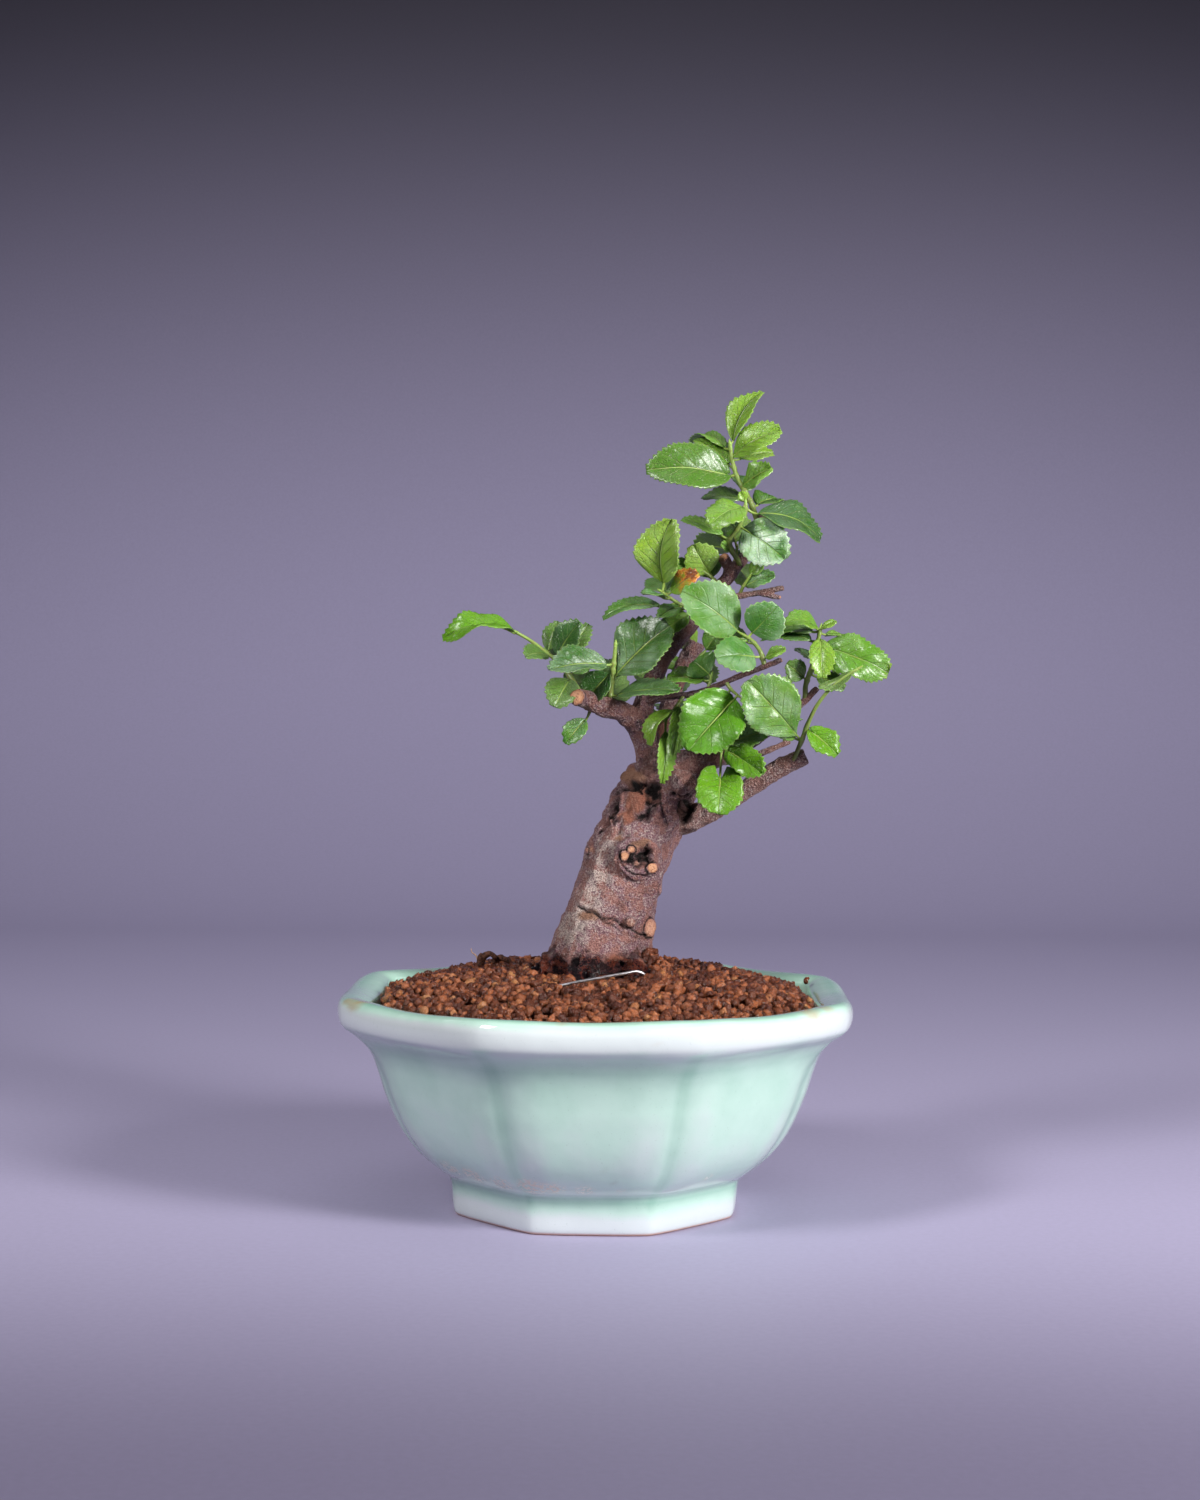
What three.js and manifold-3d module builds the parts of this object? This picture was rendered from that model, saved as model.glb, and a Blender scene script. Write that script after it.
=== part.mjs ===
// Sweet plum bonsai in a glazed octagonal pot.
// Millimetres, +Z up, +X to the right and +Y to the back when the pot is seen from its front.
// Every place is first given from the pot's axis, on the surface that the pot stands on.
// The whole group is then shifted so that the origin lies under the middle of its box.

import * as THREE from 'three';
import { mergeVertices } from 'three/addons/utils/BufferGeometryUtils.js';
import Module from 'manifold-3d';

const wasm = await Module();
wasm.setup();

// Driving dimensions

const RIM_ACROSS_FLATS = 151.6;
const POT_HEIGHT = 66.4;
const FOOT_HALF_WIDTH = 42.2;
const WALL = 5.2;
const FLOOR_TOP = 14.5;
const FLOOR_BOTTOM = 8;
const DRAIN_RADIUS = 7.5;
const FLUTE_DEPTH = 3.4;
const PANEL_BULGE = 1.1;
const FLUTE_START = 0.95;
const POT_TURN = -1.5;

const SOIL_EDGE_HEIGHT = 63.8;
const SOIL_MOUND = 7;
const SOIL_SLOPE = 0.03;
const SOIL_REACH = 66;
const GRAIN_RELIEF = 1.1;
const SOIL_DRAWS = 41;

const SCREEN_SIDE = 24;
const SCREEN_THICKNESS = 1;
const SCREEN_HOLES = 3;
const SCREEN_BAR = 2;

const WIRE_RADIUS = 0.53;
const ROOT_FLARE = 0.16;
const FLARE_SHARE = 0.32;
const BARK_SWELL = 0.06;
const BARK_RIPPLE = 0.04;
const GAP = 0.3;

const BLADE_THICKNESS = 0.66;
const LARGE_LEAF = 13;
const SMALL_LEAF = 6;
const TOOTH_DEPTH = 0.03;
const PETIOLE_RADIUS = 0.5;
const BLADE_SKEW = 0.92;
const BLADE_ROUNDING = 0.6;
const LONG_STALK = 2.6;

const ORIGIN_SHIFT = new THREE.Vector3(-5.4, 0, 0);

// Materials

const glaze = new THREE.MeshStandardMaterial({ color: 0xa9cdbd, roughness: 0.12, metalness: 0 });
const clay = new THREE.MeshStandardMaterial({ color: 0x7a4431, roughness: 0.9, metalness: 0 });
const plastic = new THREE.MeshStandardMaterial({ color: 0x2b2d2c, roughness: 0.6, metalness: 0 });
const aluminium = new THREE.MeshStandardMaterial({ color: 0xb9b9b6, roughness: 0.35, metalness: 1 });
const bark = new THREE.MeshStandardMaterial({ color: 0x6b5048, roughness: 0.85, metalness: 0 });
const foliage = new THREE.MeshStandardMaterial({ color: 0x3f7a2c, roughness: 0.3, metalness: 0 });

// Helpers

function solid(geometry) {
  const bare = geometry.index ? geometry.toNonIndexed() : geometry.clone();
  bare.deleteAttribute('normal');
  bare.deleteAttribute('uv');
  const merged = mergeVertices(bare, 1e-4);
  return new wasm.Manifold(new wasm.Mesh({
    numProp: 3,
    vertProperties: new Float32Array(merged.attributes.position.array),
    triVerts: new Uint32Array(merged.index.array),
  }));
}

function geometryOf(body) {
  const mesh = body.getMesh();
  const geometry = new THREE.BufferGeometry();
  geometry.setAttribute('position', new THREE.BufferAttribute(mesh.vertProperties, 3));
  geometry.setIndex(new THREE.BufferAttribute(mesh.triVerts, 1));
  geometry.computeVertexNormals();
  return geometry;
}

function largestBody(body) {
  return body.decompose().reduce((best, next) => (next.volume() > best.volume() ? next : best));
}

function node(name, body, material) {
  const mesh = new THREE.Mesh(geometryOf(largestBody(body)), material);
  mesh.name = name;
  return mesh;
}

function vector([x, y, z]) {
  return new THREE.Vector3(x, y, z);
}

function seeded(seed) {
  let state = seed;
  return () => {
    state = (state * 1664525 + 1013904223) % 4294967296;
    return state / 4294967296;
  };
}

// Value at t (0 to 1) along a list of evenly spaced numbers.
function along(values, t) {
  const place = t * (values.length - 1);
  const lower = Math.min(Math.floor(place), values.length - 2);
  return THREE.MathUtils.lerp(values[lower], values[lower + 1], place - lower);
}

// Octagonal plan: distance from the axis at an angle, for a half width, with a flute at each corner.
function planRadius(angle, halfWidth, flute) {
  const panel = Math.PI / 4;
  const offset = angle - panel * Math.round(angle / panel);
  const corner = Math.abs(offset) / (panel / 2);
  const bulge = PANEL_BULGE * flute * (1 - corner ** 2);
  const cut = corner > FLUTE_START ? FLUTE_DEPTH * flute : 0;
  return halfWidth / Math.cos(offset) + bulge - cut;
}

// Turns a lathe of four steps a side into the octagonal plan.
// Profile points are [half width, height, flute, roundness].
function octagonal(profile, closed) {
  const anglesInPanel = [-22.5, -18.4, 0, 18.4];
  const steps = 8 * anglesInPanel.length;
  const points = profile.map(([halfWidth, height]) => new THREE.Vector2(halfWidth, height));
  if (closed) points.push(points[0].clone());
  const geometry = new THREE.LatheGeometry(points, steps);
  const position = geometry.attributes.position;
  for (let i = 0; i < position.count; i += 1) {
    const step = Math.floor(i / points.length) % steps;
    const row = (i % points.length) % profile.length;
    const [halfWidth, height, flute = 0, roundness = 0] = profile[row];
    const panel = Math.floor(step / anglesInPanel.length);
    const angle = THREE.MathUtils.degToRad(45 * panel + anglesInPanel[step % anglesInPanel.length]);
    const radius = THREE.MathUtils.lerp(planRadius(angle, halfWidth, flute), halfWidth, roundness);
    position.setXYZ(i, radius * Math.sin(angle), -radius * Math.cos(angle), height);
  }
  return geometry;
}

// A tapering limb: a cylinder whose rings are laid along a smooth curve.
// relief(angle, t) scales the radius, and grow widens it all round.
function limb(points, radii, { sides = 8, steps = 8, grow = 0, relief = () => 1 } = {}) {
  const curve = new THREE.CatmullRomCurve3(points.map(vector), false, 'centripetal');
  const geometry = new THREE.CylinderGeometry(1, 1, 1, sides, steps);
  const frames = [];
  let side = new THREE.Vector3(0, -1, 0.01);
  for (let i = 0; i <= steps; i += 1) {
    const tangent = curve.getTangent(i / steps);
    side = side.clone().addScaledVector(tangent, -side.dot(tangent)).normalize();
    const other = new THREE.Vector3().crossVectors(tangent, side);
    frames.push({ centre: curve.getPoint(i / steps), tangent, side, other });
  }
  const position = geometry.attributes.position;
  for (let i = 0; i < position.count; i += 1) {
    const ring = Math.round((position.getY(i) + 0.5) * steps);
    const frame = frames[ring];
    const angle = Math.atan2(position.getX(i), position.getZ(i));
    const reach = Math.hypot(position.getX(i), position.getZ(i));
    const radius = reach * (along(radii, ring / steps) * relief(angle, ring / steps) + grow);
    const endShift = ring === 0 ? -grow : (ring === steps ? grow : 0);
    const place = frame.centre.clone()
      .addScaledVector(frame.side, radius * Math.cos(angle))
      .addScaledVector(frame.other, radius * Math.sin(angle))
      .addScaledVector(frame.tangent, endShift);
    position.setXYZ(i, place.x, place.y, place.z);
  }
  return solid(geometry);
}

// Pot

// Half width, height, flute: from the foot up the bowl, over the rim, down inside and out through the floor.
const half = RIM_ACROSS_FLATS / 2;
const potProfile = [
  [FOOT_HALF_WIDTH - 1.6, 0, 0.2],
  [FOOT_HALF_WIDTH - 0.3, 1.4, 0.3],
  [FOOT_HALF_WIDTH + 0.4, 9.6, 0.4],
  [44, 12.2, 0.5],
  [48.2, 14.8, 0.7],
  [52.6, 18.9, 0.9],
  [57.2, 25.4, 1],
  [60.8, 33.4, 1],
  [63.5, 41.5, 1],
  [65.4, 47.2, 0.9],
  [67.6, 51.4, 0.7],
  [70.6, 54.8, 0.5],
  [half - 1.8, 57.2, 0.35],
  [half - 0.2, 59.6, 0.3],
  [half, 62.8, 0.3],
  [half - 0.9, 65.6, 0.3],
  [half - 2.6, POT_HEIGHT, 0.3],
  [half - 6.4, 65.9, 0.25],
  [half - 9.4, 64.6, 0.1],
  [half - 10.6, 62.4],
  [63 - WALL, 40],
  [58.2 - WALL, 27.6],
  [44.4, 18.4],
  [34, FLOOR_TOP],
  [DRAIN_RADIUS, FLOOR_TOP, 0, 1],
  [DRAIN_RADIUS, FLOOR_BOTTOM, 0, 1],
  [FOOT_HALF_WIDTH - 7.6, FLOOR_BOTTOM],
  [FOOT_HALF_WIDTH - 5.8, 6.2],
  [FOOT_HALF_WIDTH - 5.2, 0],
];

const potTurn = THREE.MathUtils.degToRad(POT_TURN);
const pot = node('pot', solid(octagonal(potProfile, true)), glaze);
pot.rotation.z = potTurn;

// Drainage screen on the pot's floor

function box(width, depth, height, x = 0, y = 0) {
  return solid(new THREE.BoxGeometry(width, depth, height).translate(x, y, height / 2));
}

function screenBody() {
  const hole = (SCREEN_SIDE - SCREEN_BAR * (SCREEN_HOLES + 1)) / SCREEN_HOLES;
  const pitch = hole + SCREEN_BAR;
  let plate = box(SCREEN_SIDE, SCREEN_SIDE, SCREEN_THICKNESS);
  for (let row = 0; row < SCREEN_HOLES; row += 1) {
    for (let column = 0; column < SCREEN_HOLES; column += 1) {
      const x = (column - (SCREEN_HOLES - 1) / 2) * pitch;
      const y = (row - (SCREEN_HOLES - 1) / 2) * pitch;
      const cutter = box(hole, hole, 2 * SCREEN_THICKNESS, x, y).translate([0, 0, -SCREEN_THICKNESS / 2]);
      plate = plate.subtract(cutter);
    }
  }
  return plate;
}

const screen = node('drainage_mesh', screenBody(), plastic);
screen.position.z = FLOOR_TOP + GAP;

// Tie wire: up out of the soil at the left, over the root flare and down again at the right

const wireRoute = [
  [-14, -26.5, 60], [-13.8, -26, 65], [-13, -25.2, 69.6], [-8, -23.8, 71.4], [0, -22.3, 72.6],
  [8, -20.6, 73.8], [13.5, -19, 74.4], [17.6, -16.2, 74.2], [19.6, -13.4, 71.8], [20, -12.6, 66],
  [20, -12.6, 60],
];

function wire(grow) {
  const radii = [WIRE_RADIUS, WIRE_RADIUS];
  return limb(wireRoute, radii, { sides: 6, steps: 18, grow });
}

const tieWire = node('tie_wire', wire(0), aluminium);

// Tree wood: trunk, stems, branches, twigs, pruned stubs and scars

const trunkPoints = [
  [-1, 0, 54], [-1, 0, 62], [-0.4, 0, 70], [0.6, 0, 76], [2, 0, 82], [4, 0.3, 89], [6.4, 0.7, 97],
  [9.2, 1.2, 106], [13.2, 1.6, 115], [17, 2, 123], [20.2, 2, 130], [22.6, 2, 136],
];
const trunkRadii = [10.5, 14.5, 16.2, 15.3, 14.5, 13.5, 12.7, 12.5, 12.1, 12, 11, 7];

// Root flare below, and long bark swellings above
function trunkRelief(angle, t) {
  const flare = ROOT_FLARE * Math.max(0, 1 - t / FLARE_SHARE) * Math.cos(5 * angle + 0.7);
  const swell = (BARK_SWELL / 2) * Math.sin(3 * angle + 9 * t);
  const ripple = (BARK_RIPPLE / 2) * Math.sin(7 * angle - 21 * t);
  return 1 + flare + swell + ripple;
}

// Each limb: points, radii, sides, steps
const limbs = [
  { name: 'left stem', sides: 8, steps: 7,
    points: [[17.4, -1, 122], [16.2, -3, 135], [13.4, -5, 145.5], [7, -8, 151], [0, -10.5, 153.2],
      [-7, -13, 155.6]],
    radii: [7, 5.2, 4.3, 3.4, 3.1, 2.6] },
  { name: 'leader', sides: 7, steps: 11,
    points: [[12, -5, 145], [14.5, -5, 156], [20, -4, 167.5], [27.5, -3, 177], [36.5, -2, 189],
      [43.8, -2, 198], [47.4, -2, 205], [49.8, -2, 211.8]],
    radii: [3.8, 3, 2.6, 2.3, 2.1, 1.8, 1.6, 1.6] },
  { name: 'front twig', sides: 5, steps: 6,
    points: [[12.5, -5.5, 153.4], [18.7, -9, 155.6], [25, -12, 156.2], [31, -14.2, 157.4], [43, -17, 162.5],
      [54.5, -19, 167]],
    radii: [1.9, 1.6, 1.4, 1.3, 1.25, 1.2] },
  { name: 'leader stub', sides: 5, steps: 1,
    points: [[40.2, -2, 193], [39, -3.8, 195.8], [37.4, -5.4, 198.4]],
    radii: [2, 1.7, 1.6] },
  { name: 'leader side twig', sides: 5, steps: 3,
    points: [[34.5, -2.5, 185.6], [41.6, -5, 186.4], [49, -7.2, 187.6], [55.7, -9, 188.9]],
    radii: [1.8, 1.4, 1.3, 1.2] },
  { name: 'leader side twig fork', sides: 5, steps: 1,
    points: [[48, -7, 187.4], [51.5, -8.6, 186.4], [54.6, -9.8, 186]],
    radii: [0.9, 0.85, 0.8] },
  { name: 'second stem', sides: 7, steps: 6,
    points: [[20.5, 4, 124], [20.2, 7.5, 136], [20.6, 9, 148], [24, 10, 160], [27.4, 10, 168],
      [30, 9.6, 172.8]],
    radii: [5, 3.4, 2.7, 2.5, 2.4, 2.8] },
  { name: 'front stub', sides: 7, steps: 3,
    points: [[23, -4, 128.6], [24.8, -9, 129.2], [26.2, -13, 129.6], [26.8, -15, 129.7]],
    radii: [5.2, 4.6, 4.1, 2.6] },
  { name: 'right branch', sides: 7, steps: 7,
    points: [[21, 1, 131], [31, -2, 135.8], [44.7, -5, 141.5], [54, -7, 147.4], [62, -8, 154.6],
      [66.2, -8.2, 158.8]],
    radii: [8.4, 5, 2.9, 2, 1.6, 1.3] },
  { name: 'right branch fork', sides: 5, steps: 3,
    points: [[34, -2.4, 136.6], [41.6, -0.5, 136.4], [50, 1.6, 138.8], [59, 3, 142.4]],
    radii: [1.9, 1.3, 1.15, 1.05] },
  { name: 'right branch scar', sides: 6, steps: 2,
    points: [[32.5, -2.5, 136], [33.4, -5, 136.8], [33.9, -6.8, 137.2]],
    radii: [3.9, 3.5, 2.4] },
  { name: 'lower branch', sides: 8, steps: 6,
    points: [[17, 1, 119], [25.5, -1, 119.4], [32, -3, 120.2], [44.7, -6, 128], [56, -9, 135],
      [62.6, -10.4, 138.2]],
    radii: [7, 5, 3.7, 3.2, 3, 2.6] },
  { name: 'scar boss', sides: 9, steps: 2,
    points: [[11.4, -5, 107], [12.2, -11.4, 107.4], [12.5, -13, 107.5]],
    radii: [7.8, 7, 5.2] },
  { name: 'upper scar', sides: 6, steps: 1,
    points: [[7.6, -8, 107], [8.4, -14, 107.7]],
    radii: [2, 1.5] },
  { name: 'lower scar', sides: 6, steps: 1,
    points: [[14.4, -8, 103.8], [16.4, -13.6, 104.5]],
    radii: [2.1, 1.6] },
  { name: 'small knot', sides: 6, steps: 1,
    points: [[9.4, -9.6, 87.2], [9.9, -14, 87.4]],
    radii: [2, 1.3] },
  { name: 'oval scar', sides: 7, steps: 2,
    points: [[13, -4, 85], [16.6, -5.6, 85.2], [18, -6, 85.2]],
    radii: [3.8, 3.1, 2.3] },
  { name: 'right swelling', sides: 6, steps: 2,
    points: [[15, -3, 97], [18.4, -4.4, 97.2], [19.8, -4.8, 97.2]],
    radii: [3.2, 2.6, 1.6] },
];

function limbRelief(index) {
  return (angle, t) => 1 + BARK_SWELL * Math.sin(3 * angle + 17 * t + index)
    + BARK_RIPPLE * Math.sin(5 * angle - 29 * t);
}

function trunk(grow) {
  return limb(trunkPoints, trunkRadii, { sides: 18, steps: 14, grow, relief: trunkRelief });
}

function wood(grow) {
  return limbs.reduce((tree, { points, radii, sides, steps }, index) => (
    tree.add(limb(points, radii, { sides, steps, grow, relief: limbRelief(index) }))
  ), trunk(grow));
}

const grownWood = wood(GAP);
const treeWood = node('tree_wood', wood(0), bark);

// Soil: fills the pot, with coarse grains in relief on top and plain holes for the trunk and the wire

const soilProfile = [
  [0, 16.4], [34, 16.4], [50.4, 28.4], [63.7, 61.8], [63.9, SOIL_EDGE_HEIGHT],
  [59.5, 0], [54.5, 0], [49.5, 0], [44.5, 0], [39.5, 0], [34.5, 0], [29, 0], [23, 0], [15, 0], [0, 0],
];
const soilTopStart = 5;

function soilHeight(x, y, draw) {
  const reach = Math.min(1, Math.hypot(x, y) / SOIL_REACH);
  const heap = (SOIL_MOUND + SOIL_SLOPE * y) * (1 - reach ** 4);
  return SOIL_EDGE_HEIGHT + heap + GRAIN_RELIEF * (2 * draw() - 1);
}

function soilBody() {
  const geometry = octagonal(soilProfile, false);
  const position = geometry.attributes.position;
  const rows = soilProfile.length;
  const columns = position.count / rows;
  const draw = seeded(SOIL_DRAWS);
  for (let column = 0; column < columns - 1; column += 1) {
    for (let row = soilTopStart; row < rows; row += 1) {
      const i = column * rows + row;
      const height = soilHeight(position.getX(i), position.getY(i), draw);
      position.setZ(i, row === rows - 1 ? SOIL_EDGE_HEIGHT + SOIL_MOUND : height);
    }
  }
  for (let row = soilTopStart; row < rows; row += 1) {
    position.setZ((columns - 1) * rows + row, position.getZ(row));
  }
  const turned = solid(geometry.rotateZ(potTurn));
  return turned.subtract(trunk(GAP + 0.1)).subtract(wire(GAP));
}

const soil = node('soil', soilBody(), clay);

// Leaves

// One leaf: place along the stem (0 to 1), tip, width and the way that its upper face looks.
// fold is how far the two halves rise, in degrees; bend is the arch as a share of the length.
function leaf(at, tip, width, face, { fold = 12, bend = 0.08, petiole = 2.5 } = {}) {
  return { at, tip, width, face, fold, bend, petiole };
}

// Half width of a blade along its length, widest a little below the middle and rounded at both ends.
function bladeOutline(t) {
  return Math.sin(Math.PI * t ** BLADE_SKEW) ** BLADE_ROUNDING;
}

// Stations of a leaf from the stem to its tip: distance along it, half width and lift of the midrib.
function leafStations({ size, width, bend, petiole, stations }) {
  const rows = [
    { reach: 0, half: 0, lift: 0 },
    { reach: petiole, half: PETIOLE_RADIUS, lift: 0 },
  ];
  if (petiole > LONG_STALK) rows.splice(1, 0, { reach: 0.4 * petiole, half: PETIOLE_RADIUS, lift: 0 });
  for (let i = 1; i <= stations; i += 1) {
    const t = (1 - Math.cos((Math.PI * i) / stations)) / 2;
    const tooth = i % 2 ? 1 + TOOTH_DEPTH : 1 - TOOTH_DEPTH;
    const halfWidth = i === stations ? 0 : (width / 2) * bladeOutline(t) * tooth;
    rows.push({ reach: petiole + size * t, half: halfWidth, lift: 4 * bend * size * t * (1 - t) });
  }
  return rows;
}

// A thin closed leaf with its stalk: two like-triangulated faces, a margin wall and a point at each end.
function leafGeometry(frame) {
  const positions = [];
  const indices = [];
  const push = (row, side, offset) => {
    const fold = row.half > PETIOLE_RADIUS ? frame.fold : 0;
    const point = frame.root.clone()
      .addScaledVector(frame.length, row.reach)
      .addScaledVector(frame.across, side * row.half * Math.cos(fold))
      .addScaledVector(frame.normal, row.lift + row.half * Math.abs(side) * Math.sin(fold) + offset);
    positions.push(...point.toArray());
    return positions.length / 3 - 1;
  };
  const rows = leafStations(frame).map((row) => {
    const sides = row.half === 0 ? [0] : [-1, 0, 1];
    return {
      top: sides.map((side) => push(row, side, BLADE_THICKNESS / 2)),
      bottom: sides.map((side) => push(row, side, -BLADE_THICKNESS / 2)),
    };
  });
  const face = (a, b, c) => {
    indices.push(rows[a[0]].top[a[1]], rows[b[0]].top[b[1]], rows[c[0]].top[c[1]]);
    indices.push(rows[a[0]].bottom[a[1]], rows[c[0]].bottom[c[1]], rows[b[0]].bottom[b[1]]);
  };
  const wall = (a, b) => {
    const [aTop, aBottom] = [rows[a[0]].top[a[1]], rows[a[0]].bottom[a[1]]];
    const [bTop, bBottom] = [rows[b[0]].top[b[1]], rows[b[0]].bottom[b[1]]];
    indices.push(aTop, aBottom, bBottom, aTop, bBottom, bTop);
  };
  const last = rows.length - 1;
  face([0, 0], [1, 1], [1, 0]);
  face([0, 0], [1, 2], [1, 1]);
  for (let i = 1; i < last - 1; i += 1) {
    face([i, 0], [i, 1], [i + 1, 0]);
    face([i, 1], [i + 1, 1], [i + 1, 0]);
    face([i, 1], [i, 2], [i + 1, 1]);
    face([i, 2], [i + 1, 2], [i + 1, 1]);
    wall([i + 1, 0], [i, 0]);
    wall([i, 2], [i + 1, 2]);
  }
  face([last - 1, 0], [last - 1, 1], [last, 0]);
  face([last - 1, 1], [last - 1, 2], [last, 0]);
  wall([1, 0], [0, 0]);
  wall([0, 0], [1, 2]);
  wall([last, 0], [last - 1, 0]);
  wall([last - 1, 2], [last, 0]);
  const geometry = new THREE.BufferGeometry();
  geometry.setAttribute('position', new THREE.Float32BufferAttribute(positions, 3));
  geometry.setIndex(indices);
  return geometry;
}

function leafBody(stemCurve, { at, tip, width, face, fold, bend, petiole }) {
  const root = stemCurve.getPoint(at);
  const length = vector(tip).sub(root);
  const size = length.length() - petiole;
  length.normalize();
  const normal = vector(face);
  normal.addScaledVector(length, -normal.dot(length)).normalize();
  const across = new THREE.Vector3().crossVectors(length, normal);
  const stations = size > LARGE_LEAF ? 7 : (size > SMALL_LEAF ? 5 : 3);
  const angle = THREE.MathUtils.degToRad(fold);
  const frame = { root, length, across, normal, size, width, fold: angle, bend, petiole, stations };
  return solid(leafGeometry(frame));
}

// Leafy shoots: the green stem's points, then its leaves

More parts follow.
